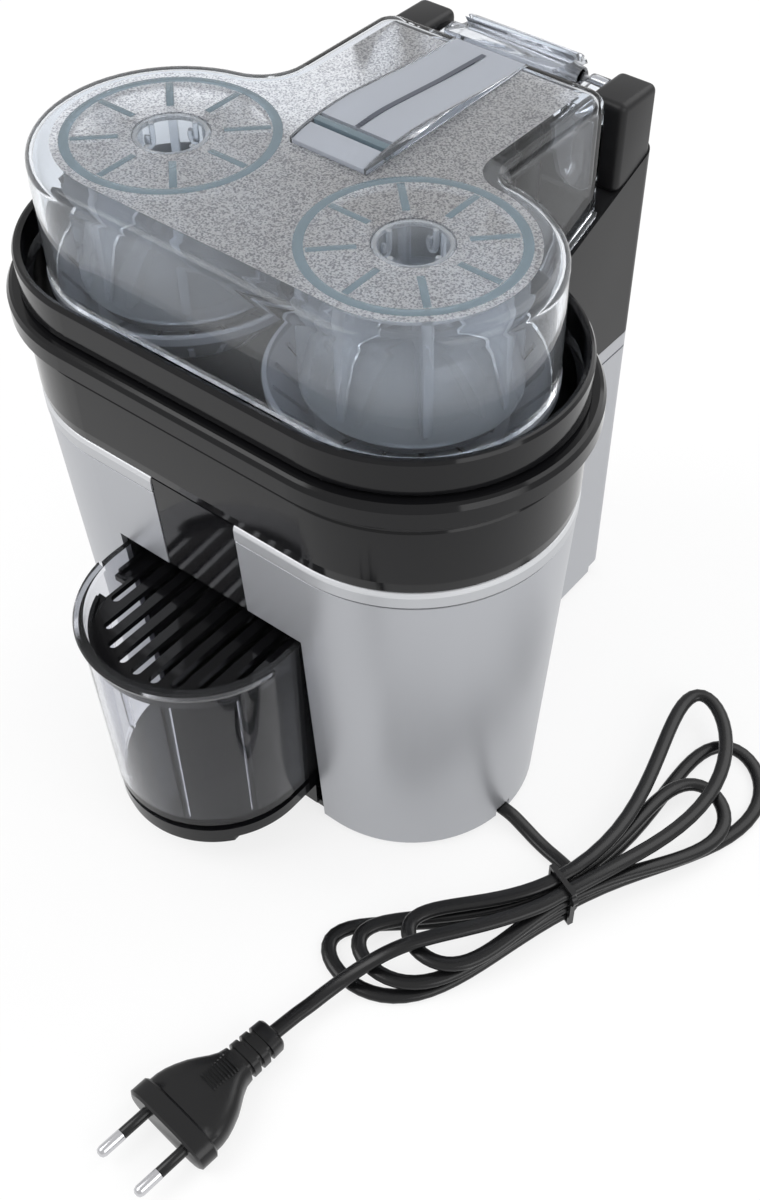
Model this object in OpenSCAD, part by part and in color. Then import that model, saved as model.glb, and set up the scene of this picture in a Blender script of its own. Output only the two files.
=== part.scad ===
// Electric twin citrus juicer with a hinged pressing lid.
// Millimetres, +Z up, front towards -Y. The origin is on the table under the
// middle of the machine. Shapes are drawn with the two cone axes on y = 0 and
// placed() moves them into the final frame.

/* [Body] */
// Distance between the two cone axes
cone_gap = 91; // [84:1:100]
// Outer radius of the black skirt and of the top of the silver panels
skirt_r = 53.2; // [51:0.2:56]
// Outer radius of the silver panels at the table
base_r = 46; // [44:0.5:50]
// Height of the top edge of the silver panels
panel_top = 143; // [138:1:150]
// Wall of the silver panels
panel_t = 2.2; // [1.8:0.1:2.6]
// Drop of the seam line below the panel's top edge
seam_drop = 6.2; // [4:0.2:9]
// Width and depth of a seam line
seam_w = 0.9; // [0.5:0.1:1.4]
// Wall of the black housing mouldings
wall = 2.4; // [2:0.1:3]
// Width of the black strip between the front panels
strip_w = 35; // [28:1:42]
// Outer radius of the flange ring at the top of the housing
flange_r = 57.4; // [56:0.2:60]
// Height of the black skirt between the panels and the flange ring
skirt_h = 29.4; // [27:0.2:32]
// Thickness of the flange ring
flange_h = 8.6; // [7:0.2:10]
// Drop of the deck that carries the shaft bushes below the flange ring
deck_drop = 10.4; // [9.4:0.2:12]
// Thickness of the deck
deck_t = 3; // [2.5:0.5:3]
// Height of the rubber feet that stand proud of the base
foot_h = 2; // [1:0.5:4]
// Radius of a rubber foot
foot_r = 6; // [4:0.5:7]
// Thickness of the base plate
base_t = 3; // [2.5:0.5:4]

/* [Cup bay] */
// Inside width of the bay that holds the juice cup
bay_w = 80; // [76:1:84]
// Room above the juice cup's rim in its bay
bay_room = 3.4; // [2.4:0.2:5]
// Distance of the bay's back wall behind the cone axes, negative is in front
bay_back = -5; // [-12:1:-2]
// Wall of the bay liner
bay_t = 2.6; // [2:0.2:3]
// Height of the cup stand's top face
stand_top = 23.4; // [18:0.2:28]
// Thickness of the cup stand where it juts out in front of the body
stand_t = 10; // [8:0.5:12]
// Radius of the rounded front of the cup stand
stand_r = 36; // [34:0.5:38]
// Half width of the cup stand's tapered underside
stand_low_hw = 28; // [24:0.5:32]

/* [Juice cup] */
// Half width of the juice cup at its rim, and the radius of its round front
cup_r = 38.6; // [36:0.2:39]
// Half width of the juice cup at its floor
cup_foot_r = 36.4; // [33:0.2:38]
// Distance of the cup's arc centre in front of the cone axes
cup_y = 57.3; // [54:0.5:60]
// Height of the juice cup from its floor to its rim
cup_h = 76.3; // [70:0.1:82]
// Wall of the juice cup
cup_t = 2; // [1.6:0.1:2.4]
// Width of the rolled lip round the cup's open front
cup_lip = 1.6; // [1:0.2:2.4]
// Depth of the drip grate below the cup's rim
grate_drop = 7; // [5:0.5:10]
// Thickness of the drip grate
grate_t = 2.2; // [1.8:0.2:3]
// Distance between the grate's slots
slot_pitch = 7; // [6:0.5:9]
// Width of a slot in the grate
slot_w = 3.4; // [2.6:0.2:4.2]

/* [Tray] */
// Height of the tray's rim band above the housing flange
rim_h = 12.6; // [11:0.2:14]
// Wall of the tray's rim band
rim_t = 2.8; // [2.2:0.1:3.2]
// Wall and floor thickness of the tray's bowl
tray_t = 2; // [1.6:0.1:2.4]
// Radius of the strainer baskets
strainer_r = 43.8; // [42:0.2:44.4]
// Radius of the strainer baskets' floors
strainer_foot_r = 30; // [28:0.5:33]
// Drop of the strainer baskets' rims below the tray's rim
strainer_drop = 8.5; // [8:0.1:10]
// Number of upright slots round a strainer basket
strainer_slots = 24; // [16:1:28]
// Wall of the strainer baskets
strainer_t = 1.5; // [1.2:0.1:1.8]

/* [Drive] */
// Radius of the steel drive shafts
shaft_r = 4; // [3:0.5:4.5]
// Radial running clearance of a shaft in a bush or hub
run_clear = 0.06; // [0.03:0.01:0.1]
// Teeth on each cone gear
gear_teeth = 48; // [44:4:52]
// Teeth on the motor pinion
pinion_teeth = 12; // [12:1:13]
// Face width of the gears
gear_w = 8; // [6:0.5:9]
// Distance of the motor axis behind the cone axes
motor_y = 26; // [24:0.5:30]
// Radius of the motor can
motor_r = 25; // [22:0.5:27]
// Length of the motor can
motor_h = 62; // [50:1:80]
// Height of a reaming cone
cone_h = 23.4; // [20:0.2:24]
// Radius of the reaming cones at their base
cone_r = 26; // [22:0.5:28]
// Number of ribs on a reaming cone
cone_ribs = 8; // [6:1:10]

/* [Lid] */
// Outer radius of the lid's round lobes
lid_r = 43.5; // [42:0.5:45]
// Height of the lid from the lobes' lower edge to its top face
lid_h = 40.7; // [38:0.1:44]
// Wall of the clear lid
lid_t = 2.4; // [2:0.1:2.8]
// Radius of the lid's rounded upper edge
lid_round = 4.5; // [3:0.5:6]
// Half width of the lid's rear neck
neck_hw = 45; // [43:0.5:46]
// Distance of the lid's rear wall behind the cone axes
neck_back = 103; // [99:0.5:104]
// Radius of the neck's upright rear corners
neck_round = 8; // [5:0.5:9]
// Width of the raised pressing strip on the lid
grip_w = 29; // [24:1:34]
// Height of the pressing strip above the lid's top face
grip_h = 2; // [1:0.5:3]

/* [Press cups] */
// Outer radius of a press cup's ring and fins
press_r = 33.3; // [32:0.1:34]
// Height of a press cup from its lower rim to the lid's top face
press_h = 44.2; // [41:0.1:45]
// Radius of the hole through the lid for a press cup's centre tube
press_hole_r = 12; // [11:0.2:13]
// Number of fins on a press cup
press_fins = 8; // [6:1:10]
// Thickness of a fin
fin_t = 2.2; // [1.6:0.1:2.8]
// Distance of the fins' inner ends from the press cup's axis
fin_in = 15.4; // [14:0.2:17]

/* [Tower] */
// Half width of the rear tower
tower_hw = 48; // [47:0.5:50]
// Distance of the tower's back face behind the cone axes
tower_back = 128; // [125:0.5:135]
// Radius of the tower's upright corners
tower_round = 5; // [3:0.5:7]
// Height of the joint between the silver and the black tower shells
tower_seam = 125; // [118:0.5:130]
// Drop of the black top face below the flange ring's lower edge
slope_drop = 1.2; // [0.8:0.2:2.4]
// Rise of the black top face per unit of depth
slope = 0.39; // [0.34:0.01:0.4]

/* [Hinge] */
// Distance of the hinge axis behind the cone axes
hinge_y = 121; // [120:0.5:122]
// Drop of the hinge axis below the lid's top face
hinge_drop = 11.4; // [10.6:0.1:12.6]
// Radius of the hinge rod
rod_r = 2; // [1.5:0.1:2.2]
// Radius of the lid's hinge barrel
barrel_r = 4.5; // [4:0.1:4.8]
// Half width of the middle barrel
barrel_hw = 20.5; // [16:0.5:23]
// Height of the posts' top faces above the hinge axis
post_rise = 5.8; // [4.6:0.2:7]
// Distance of a post's inner face from the middle
post_in = 33; // [32:0.5:35]
// Distance of a post's outer face from the middle
post_out = 47.6; // [44:0.2:47.8]
// Distance of the posts' front face behind the cone axes
post_front = 105; // [104.5:0.5:108]
// Depth of the posts from front to back
post_d = 20.5; // [19:0.5:22]

/* [Start switch] */
// Distance of the start plunger to the right of the middle
plunger_x = 27; // [24:0.5:30]
// Distance of the start plunger behind the cone axes
plunger_y = 82; // [78:1:84]
// Radius of the start plunger
plunger_r = 4; // [3:0.5:5]
// Travel of the start plunger
plunger_travel = 3; // [2:0.5:4]

/* [Mains lead] */
// Width of the flat two-core lead
cord_w = 5.4; // [5:0.1:5.8]
// Thickness of the flat lead
cord_t = 3.4; // [3:0.1:3.8]
// Width of the plug
plug_w = 35.3; // [34:0.1:37]
// Thickness of the plug
plug_h = 13.7; // [12:0.1:14]
// Distance between the plug's pins
pin_gap = 18; // [17.5:0.5:18.6]
// Radius of a plug pin
pin_r = 2; // [2:0.1:2.4]

/* [Hidden] */
$fn = 48;
eps = 0.01;
fit_gap = 0.3;            // clearance between pieces that only rest together
plunger_gap = 0.9;        // room between the closed lid and the start plunger
screw_boss_h = 12;
pin_l = 25.8;             // plug pin with the root that sits in the plug body
half_gap = cone_gap / 2;
cup_front = cup_y + cup_r + cup_lip;
frame_y = (cup_front - tower_back) / 2;
flange_z = panel_top + skirt_h;
deck_z = flange_z - deck_drop;
slope_z = flange_z - slope_drop;
seam_z = panel_top - seam_drop;
skirt_in = skirt_r - wall;
base_top = foot_h + base_t;
plate_r = base_r - panel_t - 0.4;          // base plate, inside the panels
frame_wall_r = plate_r - 0.3;              // outer radius of the inner frame
gear_plate_t = 2.6;
gear_plate_z = panel_top - gear_plate_t - 0.2;
deck_top = deck_z + deck_t;
tray_low = deck_top + fit_gap;
tray_floor = tray_low + tray_t;
tray_r = skirt_in - 0.4;
rim_low = flange_z + flange_h + 0.4;
rim_top = rim_low + rim_h;
strainer_top = rim_top - strainer_drop;
drain_r = 6;
drain_y = tray_r - drain_r - 5.4;          // drain hole in front of the cone axes
spout_r = drain_r + 1.6;
boss_r = 7.4;                              // tray tubes round the drive shafts
boss_top = tray_floor + 10;
bay_hw = bay_w / 2;
bay_rear_y = bay_back - bay_t;
mesh_d = norm([half_gap, motor_y]);
gear_module = 2 * mesh_d / (gear_teeth + pinion_teeth);
gear_z = gear_plate_z + gear_plate_t + 4;
gear_add = 0.8;                            // addendum as a share of the module
gear_ded = 1.05;                           // dedendum as a share of the module
beyond_x = half_gap + skirt_r + 20;        // past the body's right end
backlash = 0.35;
pressure_angle = 25;
gear_plate_r = skirt_r - panel_t - 0.6;
deck_post_r = 3;
deck_post_at = (gear_plate_r - deck_post_r - 0.7) / sqrt(2);   // posts between gear plate and deck
motor_top = gear_plate_z - 0.2;
shaft_low = gear_plate_z - 3;
hub_low = boss_top + fit_gap;
cone_top = hub_low + cone_h;
shaft_top = cone_top - 12;
lid_low = strainer_top + 0.5;
lid_top = lid_low + lid_h;
lid_under = lid_top - lid_t;
press_low = lid_top - press_h;
hinge_z = lid_top - hinge_drop;
post_top = hinge_z + post_rise;
lid_step_y = skirt_r - rim_t - 3;          // where the neck's walls step up over the tray's rim
lid_sweep_r = norm([hinge_y - skirt_r, hinge_z - rim_top]) - 1;
cup_floor = stand_top + fit_gap;
cup_rim = cup_floor + cup_h;
bay_top = cup_rim + bay_room;
grate_z = cup_rim - grate_drop - grate_t;
rod_hw = post_out - 3;
plunger_top = lid_under - plunger_gap;
plunger_collar_z = 168;
press_tube_r = press_hole_r - fit_gap;
post_round = 3;

// Mains lead, in the drawing frame. The hank is tied at its waist.
tie_x = 131;
tie_y = -25;
tie_bearing = 22;         // direction of the strands at the tie, clockwise from +Y
tie_t = 1.2;              // thickness of the tie under the strands
strand_x = cord_w / 2 + 0.35;
strand_rise = cord_t + 0.9;
hank_steps = 13;
// reach, half width factor and bearing of each loop
upper_loops = [[99, 19, 12], [75, 14.6, 16], [99, 16.6, -1]];
lower_loops = [[80, 18, 36], [71, 15, 34], [55, 12.4, 31]];
lead_points = [
    [90, -4.4, 4.6], [96, -4.9, 4.3], [102, -5.8, 3], [108, -7, 2], [114, -8.2, 1.7],
    [120, -9.3, 1.9], [125, -10.7, 2.4], [129.4, -13.4, 2.8], [132.4, -17.4, 2.9],
    [133.8, -21.7, 2.9]
];
grommet_l = 20;
grommet_w = 7;
cord_slot = grommet_w / 2 + 1.8;           // half width of the notch for the grommet
grommet_x = lead_points[0][0] - grommet_l;
grommet_y = lead_points[0][1];
tail_points = [
    [132.6, -29, 15.8], [130, -35.6, 15.8], [126, -43, 15.8], [120.6, -51.4, 15.8],
    [114.6, -59.6, 15.7], [108.4, -67.6, 15.5], [103, -75, 15.1], [98.2, -82.4, 13.3],
    [94.2, -89.6, 10.4], [91.2, -96.6, 8], [89, -103.4, 6.4], [87.5, -109.8, 5.8],
    [86.4, -115.6, 6.2]
];
plug_x = 80.2;
plug_y = -171;
plug_turn = -6;
plug_len = 46;
plug_entry = [
    plug_x - plug_len * sin(plug_turn), plug_y + plug_len * cos(plug_turn), plug_h / 2
];

// ---------------------------------------------------------------- helpers

module placed() {
    translate([0, frame_y, 0]) children();
}

module left_cone() {
    translate([-half_gap, 0, 0]) children();
}

module right_cone() {
    translate([half_gap, 0, 0]) children();
}

// Flat outline of two circles joined by straight sides
module stadium(r) {
    translate([-half_gap, 0]) circle(r);
    translate([half_gap, 0]) circle(r);
    translate([-half_gap, -r]) square([cone_gap, 2 * r]);
}

module stadium_plate(r, low, high) {
    translate([0, 0, low]) linear_extrude(high - low) stadium(r);
}

// Sweeps a radial profile, drawn as [radius, height], round the stadium
module stadium_sweep() {
    translate([half_gap, 0, 0]) rotate([0, 0, -90]) rotate_extrude(angle = 180) children();
    translate([-half_gap, 0, 0]) rotate([0, 0, 90]) rotate_extrude(angle = 180) children();
    for (side = [0, 180])
        rotate([0, 0, side])
            translate([half_gap, 0, 0])
                rotate([90, 0, -90])
                    linear_extrude(cone_gap) children();
}

// Extrudes a profile drawn as [y, z] along X, from x0 to x1
module side_profile(x0, x1) {
    translate([x0, 0, 0]) rotate([90, 0, 90]) linear_extrude(x1 - x0) children();
}

module block(x0, x1, y0, y1, z0, z1) {
    translate([x0, y0, z0]) cube([x1 - x0, y1 - y0, z1 - z0]);
}

// Outer radius of the silver panels at a height
function panel_r(z) = base_r + (skirt_r - base_r) * (z - foot_h) / (panel_top - foot_h);

// Half width of the juice cup's outside at a height
function cup_r_at(z) = cup_foot_r + (cup_r - cup_foot_r) * (z - cup_floor) / (cup_rim - cup_floor);

// Height of the tower's sloping top face at a depth
function slope_at(y) = slope_z + slope * (y - flange_r);

function ease(x) = let (c = min(1, max(0, x))) c * c * (3 - 2 * c);

// ---------------------------------------------------------------- base

module base_outline() {
    stadium(plate_r);
    translate([-(tower_hw - wall - fit_gap), 0])
        square([2 * (tower_hw - wall - fit_gap), tower_back - wall - fit_gap]);
}

module at_feet() {
    for (side = [-1, 1]) {
        translate([side * half_gap, -plate_r + foot_r + 3, 0]) children();
        translate([side * (tower_hw - 14), tower_back - 16, 0]) children();
    }
}

module at_base_screws() {
    for (side = [-1, 1]) {
        translate([side * (half_gap + 4), plate_r - 17.4, 0]) children();
        translate([side * (tower_hw - 14), tower_back - 54, 0]) children();
    }
}

module base_plate() {
    color("#1f2023") placed() difference() {
        translate([0, 0, foot_h]) linear_extrude(base_t) base_outline();
        at_base_screws() translate([0, 0, foot_h - eps]) cylinder(h = base_t + 1, r = 2.2);
        at_base_screws() translate([0, 0, foot_h - eps]) cylinder(h = 1.4, r = 4.2);
        block(grommet_x - 0.4, beyond_x, grommet_y - cord_slot, grommet_y + cord_slot, foot_h - 1, base_top + 1);
    }
}

module rubber_feet() {
    color("#2a2a2a") placed() at_feet() difference() {
        cylinder(h = foot_h, r = foot_r);
        translate([0, 0, -eps]) cylinder(h = foot_h * 0.4, r = foot_r * 0.5);
    }
}

module base_screws() {
    color("#9a9a9a") placed() at_base_screws() difference() {
        union() {
            translate([0, 0, foot_h + 0.2]) cylinder(h = 1.1, r = 3.8);
            translate([0, 0, foot_h + 0.2]) cylinder(h = base_t + 7, r = 1.9);
        }
        translate([-2.6, -0.5, foot_h]) cube([5.2, 1, 0.7]);
    }
}

// ---------------------------------------------------------------- housing

module inner_frame() {
    color("#26272b") placed() difference() {
        union() {
            difference() {
                stadium_plate(frame_wall_r, base_top, gear_plate_z - 0.2);
                stadium_plate(frame_wall_r - wall, base_top - 1, panel_top);
            }
            at_base_screws() translate([0, 0, base_top]) intersection() {
                cylinder(h = screw_boss_h, r = 4.4);
                translate([-6, -6, 0]) cube([12, 12, screw_boss_h]);
            }
        }
        block(-tower_hw + wall + 0.4, tower_hw - wall - 0.4, 0, frame_wall_r + 8, base_top - 1, panel_top);
        block(-bay_hw - bay_t - fit_gap, bay_hw + bay_t + fit_gap, -frame_wall_r - 8, 0, base_top - 1, panel_top);
        at_base_screws() translate([0, 0, base_top - eps]) cylinder(h = 8, r = 1.95);
        block(grommet_x - 4, beyond_x, grommet_y - cord_slot, grommet_y + cord_slot, base_top - 1, base_top + 4);
    }
}

// The bay's walls start behind the panels and follow their taper
function bay_front(z) = -panel_r(z) + panel_t + 0.6;

module bay_side_outline() {
    high = bay_top + bay_t;
    polygon([
        [bay_back, base_top], [bay_front(base_top), base_top], [bay_front(high), high], [bay_back, high]
    ]);
}

module cup_bay() {
    color("#141417") placed() difference() {
        union() {
            side_profile(-bay_hw - bay_t, -bay_hw) bay_side_outline();
            side_profile(bay_hw, bay_hw + bay_t) bay_side_outline();
            block(-bay_hw - bay_t, bay_hw + bay_t, bay_back, bay_back + bay_t, base_top, bay_top + bay_t);
            side_profile(-bay_hw - bay_t, bay_hw + bay_t) polygon([
                [bay_back + bay_t, bay_top], [bay_front(bay_top), bay_top],
                [bay_front(bay_top + bay_t), bay_top + bay_t], [bay_back + bay_t, bay_top + bay_t]
            ]);
        }
        translate([0, -drain_y, bay_top - 1]) cylinder(h = bay_t + 2, r = spout_r + fit_gap);
    }
}

// Flat outline of the cup stand; the part inside the bay is as wide as the round front
module cup_stand_outline(inset, hw) {
    front = panel_r(base_top) - 1;
    intersection() {
        translate([0, -cup_y]) circle(stand_r - inset);
        translate([-hw + inset, -cup_y - stand_r]) square([2 * (hw - inset), stand_r]);
    }
    translate([-hw + inset, -cup_y]) square([2 * (hw - inset), cup_y - front + 1]);
    translate([-stand_r + inset, -front]) square([2 * (stand_r - inset), front + bay_back - fit_gap - inset]);
}

module cup_stand() {
    low = stand_top - stand_t;
    color("#1b1b1e") placed() difference() {
        union() {
            translate([0, 0, low]) linear_extrude(stand_t - 6) cup_stand_outline(0.6, stand_low_hw);
            translate([0, 0, low + 3]) linear_extrude(stand_t - 5) cup_stand_outline(0, stand_r);
            translate([0, 0, low + 3]) linear_extrude(stand_t - 3) cup_stand_outline(2, stand_r);
            translate([-stand_r, -panel_r(base_top) + 1, base_top])
                cube([2 * stand_r, panel_r(base_top) - 1 + bay_back - fit_gap, low]);
        }
        translate([0, 0, low - 1]) linear_extrude(stand_t - 2) intersection() {
            cup_stand_outline(3, stand_low_hw);
            translate([-stand_r, -cup_y - stand_r]) square([2 * stand_r, cup_y + stand_r - panel_r(base_top) - 2]);
        }
    }
}

module front_strip() {
    hw = strip_w / 2 - 0.2;
    low = bay_top;
    high = panel_top - 0.1;
    color("#17171a") placed() side_profile(-hw, hw) polygon([
        [-panel_r(low) + 0.3, low], [-panel_r(high) + 0.3, high],
        [-panel_r(high) + 0.3 + panel_t, high], [-panel_r(low) + 0.3 + panel_t, low]
    ]);
}

// Section of a silver panel, with its rounded top edge and its seam line
module panel_section() {
    difference() {
        polygon([
            [base_r - 0.6, foot_h], [base_r, foot_h + 0.8],
            [panel_r(seam_z - seam_w), seam_z - seam_w],
            [panel_r(seam_z) - seam_w, seam_z - seam_w / 2],
            [panel_r(seam_z) + 0.2, seam_z],
            [skirt_r, panel_top - 1.6], [skirt_r - 0.5, panel_top - 0.5], [skirt_r - 1.4, panel_top],
            [skirt_r - panel_t, panel_top], [base_r - panel_t, foot_h]
        ]);
    }
}

module panels() {
    difference() {
        stadium_sweep() panel_section();
        block(-bay_hw - 0.2, bay_hw + 0.2, -80, 0, -1, bay_top);
        block(-strip_w / 2, strip_w / 2, -80, 0, bay_top - 1, panel_top + 1);
        block(-tower_hw - fit_gap, tower_hw + fit_gap, 0, 80, -1, panel_top + 1);
    }
}

module left_panel() {
    color("#a7a9b0") placed() intersection() {
        panels();
        block(-120, 0, -80, 80, 0, 160);
    }
}

module right_panel() {
    color("#a7a9b0") placed() difference() {
        intersection() {
            panels();
            block(0, 120, -80, 80, 0, 160);
        }
        block(half_gap, 120, grommet_y - grommet_w / 2, grommet_y + grommet_w / 2, 0, base_top + 2);
    }
}

module motor_housing() {
    color("#1c1c1f") placed() difference() {
        union() {
            stadium_sweep() polygon([
                [skirt_in, panel_top + 0.2], [skirt_r - 0.5, panel_top + 0.2],
                [skirt_r, panel_top + 4], [skirt_r + 0.2, flange_z - 5],
                [skirt_r - 0.3, flange_z - 4.4], [skirt_r + 0.2, flange_z - 3.8],
                [skirt_r + 0.2, flange_z], [flange_r - 0.8, flange_z],
                [flange_r, flange_z + 1], [flange_r, flange_z + flange_h - 2],
                [flange_r - 0.9, flange_z + flange_h - 0.5], [flange_r - 2, flange_z + flange_h],
                [skirt_in, flange_z + flange_h]
            ]);
            stadium_plate(skirt_in + 1, deck_z, deck_top);
        }
        for (x = [-half_gap, half_gap])
            translate([x, 0, deck_z - 1]) cylinder(h = deck_t + 2, r = shaft_r + 2.5);
        translate([0, -drain_y, deck_z - 1]) cylinder(h = deck_t + 2, r = spout_r + fit_gap);
    }
}

// ---------------------------------------------------------------- tower

module tower_outline(inset, front) {
    r = tower_round - min(inset, tower_round - 1);
    hw = tower_hw - inset;
    back = tower_back - inset;
    difference() {
        union() {
            translate([-hw, front]) square([2 * hw, back - front - r]);
            translate([-hw + r, back - r - 1]) square([2 * hw - 2 * r, r + 1]);
            for (side = [-1, 1])
                translate([side * (hw - r), back - r]) circle(r);
        }
    }
}

module tower_shell() {
    start = frame_wall_r + 0.8;
    top = tower_seam - 0.2;
    groove_z = tower_seam - 7;
    color("#a2a4ab") placed() difference() {
        translate([0, 0, foot_h]) linear_extrude(top - foot_h) tower_outline(0, start);
        translate([0, 0, 0]) linear_extrude(top + 1) tower_outline(wall, start - 1);
        difference() {
            translate([0, 0, groove_z]) linear_extrude(seam_w) tower_outline(-2, start - 1);
            translate([0, 0, groove_z - 1]) linear_extrude(seam_w + 2) tower_outline(0.7, start - 2);
        }
        block(-tower_hw - 1, tower_hw + 1, tower_back - 9, tower_back + 1, -1, foot_h + 3);
    }
}

// Side outline of the black tower cover, in [y, z]
module cover_outline(inset) {
    front_low = frame_wall_r + 0.8 + inset;
    front_high = skirt_r + 0.5 + inset;
    polygon([
        [front_low, tower_seam - (inset > 0 ? 1 : 0)], [tower_back - inset, tower_seam - (inset > 0 ? 1 : 0)],
        [tower_back - inset, slope_at(tower_back - inset) - inset],
        [front_high, slope_at(front_high) - inset], [front_high, panel_top + inset],
        [front_low, panel_top - 0.2 + inset]
    ]);
}

module tower_cover() {
    color("#1d1d20") placed() difference() {
        intersection() {
            side_profile(-tower_hw, tower_hw) cover_outline(0);
            linear_extrude(300) tower_outline(0, 0);
        }
        side_profile(-tower_hw + wall, tower_hw - wall) cover_outline(wall);
        block(-tower_hw + wall, tower_hw - wall, 0, skirt_r, tower_seam - 1, panel_top - 0.1);
        translate([plunger_x, plunger_y, 150]) cylinder(h = 100, r = plunger_r + fit_gap);
    }
}

module hinge_post(inner, outer) {
    back = post_front + post_d;
    r = post_round;
    difference() {
        side_profile(inner, outer) difference() {
            union() {
                polygon([
                    [post_front, slope_at(post_front) + 0.15], [post_front, post_top - r],
                    [back, post_top - r], [back, slope_at(back) + 0.15]
                ]);
                translate([post_front + r, post_top - r]) square([post_d - 2 * r, r]);
                translate([post_front + r, post_top - r]) circle(r);
                translate([back - r, post_top - r]) circle(r);
            }
            translate([post_front + 2.6, slope_at(post_front) - 5])
                square([0.9, post_top - slope_at(post_front) + 1]);
        }
        translate([inner - 1, hinge_y, hinge_z]) rotate([0, 90, 0])
            cylinder(h = outer - inner - 1.4, r = rod_r + run_clear);
    }
}

module left_hinge_post() {
    color("#202022") placed() mirror([1, 0, 0]) hinge_post(post_in, post_out);
}

module right_hinge_post() {
    color("#202022") placed() hinge_post(post_in, post_out);
}

module hinge_rod() {
    color("#c0c0c4") placed()
        translate([-rod_hw, hinge_y, hinge_z]) rotate([0, 90, 0]) cylinder(h = 2 * rod_hw, r = rod_r);
}

// ---------------------------------------------------------------- tray and strainers

module juice_tray() {
    color("#161618") placed() difference() {
        union() {
            stadium_sweep() polygon([
                [tray_r - tray_t, tray_low], [tray_r - 1, tray_low], [tray_r, tray_low + 1],
                [tray_r, rim_low + 0.1], [skirt_r - 0.6, rim_low + 0.1], [skirt_r, rim_low + 1],
                [skirt_r, rim_top - 1.2], [skirt_r - 0.6, rim_top - 0.2], [skirt_r - 1.4, rim_top],
                [skirt_r - rim_t, rim_top - 0.6], [skirt_r - rim_t, rim_low + 3],
                [tray_r - tray_t, rim_low + 1]
            ]);
            stadium_plate(tray_r - tray_t + 0.5, tray_low, tray_floor);
            for (x = [-half_gap, half_gap])
                translate([x, 0, tray_low]) cylinder(h = boss_top - tray_low, r = boss_r);
        }
        for (x = [-half_gap, half_gap])
            translate([x, 0, tray_low - 1]) cylinder(h = 30, r = shaft_r + 1);
        translate([0, -drain_y, tray_low - 1]) cylinder(h = 6, r = drain_r);
    }
}

module strainer() {
    low = tray_floor + fit_gap;
    lip = 3;
    slot_out = strainer_r - strainer_t - 1.6;
    difference() {
        rotate_extrude($fn = 64) polygon([
            [boss_r + 1, low], [strainer_foot_r, low], [strainer_r, strainer_top - lip],
            [strainer_r, strainer_top - 0.5], [strainer_r - 0.5, strainer_top],
            [strainer_r - strainer_t, strainer_top], [strainer_r - strainer_t, strainer_top - lip + 0.6],
            [strainer_foot_r - strainer_t * 0.4, low + strainer_t], [boss_r + 2.4, low + strainer_t],
            [boss_r + 2.4, low + 5], [boss_r + 1, low + 5]
        ]);
        for (i = [0 : strainer_slots - 1])
            rotate([0, 0, i * 360 / strainer_slots])
                translate([strainer_foot_r + 1, -1, low - 1])
                    cube([slot_out - strainer_foot_r - 1, 2, strainer_top - low]);
        for (i = [0 : strainer_slots / 2 - 1])
            rotate([0, 0, (i + 0.5) * 720 / strainer_slots])
                translate([boss_r + 6, -1, low - 1]) cube([strainer_foot_r - boss_r - 10, 2, 4]);
    }
}

module left_strainer() {
    color("#8d939b") placed() left_cone() strainer();
}

module right_strainer() {
    color("#8d939b") placed() right_cone() strainer();
}

module juice_spout() {
    high = deck_z - 0.2;
    low = cup_rim + 1;
    color("#101012") placed() translate([0, -drain_y, 0]) difference() {
        union() {
            translate([0, 0, low]) cylinder(h = high - low, r = spout_r);
            translate([0, 0, high - 2]) cylinder(h = 2, r = spout_r + 3);
        }
        translate([0, 0, low - 1]) cylinder(h = high - low + 2, r = drain_r);
    }
}

// ---------------------------------------------------------------- drive

module gear_plate() {
    color("#6f7278") placed() difference() {
        union() {
            stadium_plate(gear_plate_r, gear_plate_z, gear_plate_z + gear_plate_t);
            for (x = [-1, 1], y = [-1, 1])
                translate([x * (half_gap + deck_post_at), y * deck_post_at, gear_plate_z])
                    cylinder(h = deck_z - 0.2 - gear_plate_z, r = deck_post_r);
        }
        for (x = [-half_gap, half_gap])
            translate([x, 0, gear_plate_z - 1]) cylinder(h = gear_plate_t + 2, r = shaft_r + 2.5);
        translate([0, motor_y, gear_plate_z - 1]) cylinder(h = gear_plate_t + 2, r = 6);
        translate([0, -drain_y, gear_plate_z - 1]) cylinder(h = gear_plate_t + 2, r = spout_r + fit_gap);
        for (side = [0, 1])
            mirror([side, 0, 0])
                block(
                    tower_hw - wall - fit_gap, tower_hw + fit_gap, frame_wall_r + 0.4, skirt_r,
                    gear_plate_z - 1, gear_plate_z + gear_plate_t + 1
                );
    }
}

module bush(low, high) {
    difference() {
        union() {
            translate([0, 0, low]) cylinder(h = high - low, r = shaft_r + 2.4);
            translate([0, 0, low - 1.6]) cylinder(h = 1.5, r = shaft_r + 4);
            translate([0, 0, low - 1.6]) cylinder(h = 3, r = shaft_r + 2.4);
        }
        translate([0, 0, low - 3]) cylinder(h = high - low + 6, r = shaft_r + run_clear);
    }
}

module shaft_bushes() {
    color("#b08d57") placed() for (x = [-half_gap, half_gap]) translate([x, 0, 0]) {
        bush(deck_z, deck_top);
        bush(gear_plate_z, gear_plate_z + gear_plate_t);
    }
}

module drive_shaft() {
    translate([0, 0, shaft_low]) cylinder(h = shaft_top - shaft_low - 8, r = shaft_r);
    translate([0, 0, shaft_top - 9]) cylinder(h = 9, r = shaft_r - 0.5, $fn = 6);
}

module left_drive_shaft() {
    color("#c4c6ca") placed() left_cone() drive_shaft();
}

module right_drive_shaft() {
    color("#c4c6ca") placed() right_cone() drive_shaft();
}

// Involute flank: polar angle at a radius, for a base circle
function involute_angle(r, rb) = let (a = acos(min(1, rb / r))) tan(a) * 180 / PI - a;

// Half angle of a tooth at a radius
function tooth_half(r, rp, rb, teeth) =
    90 / teeth - backlash / rp * 90 / PI
    + involute_angle(rp, rb) - involute_angle(max(r, rb), rb);

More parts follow.
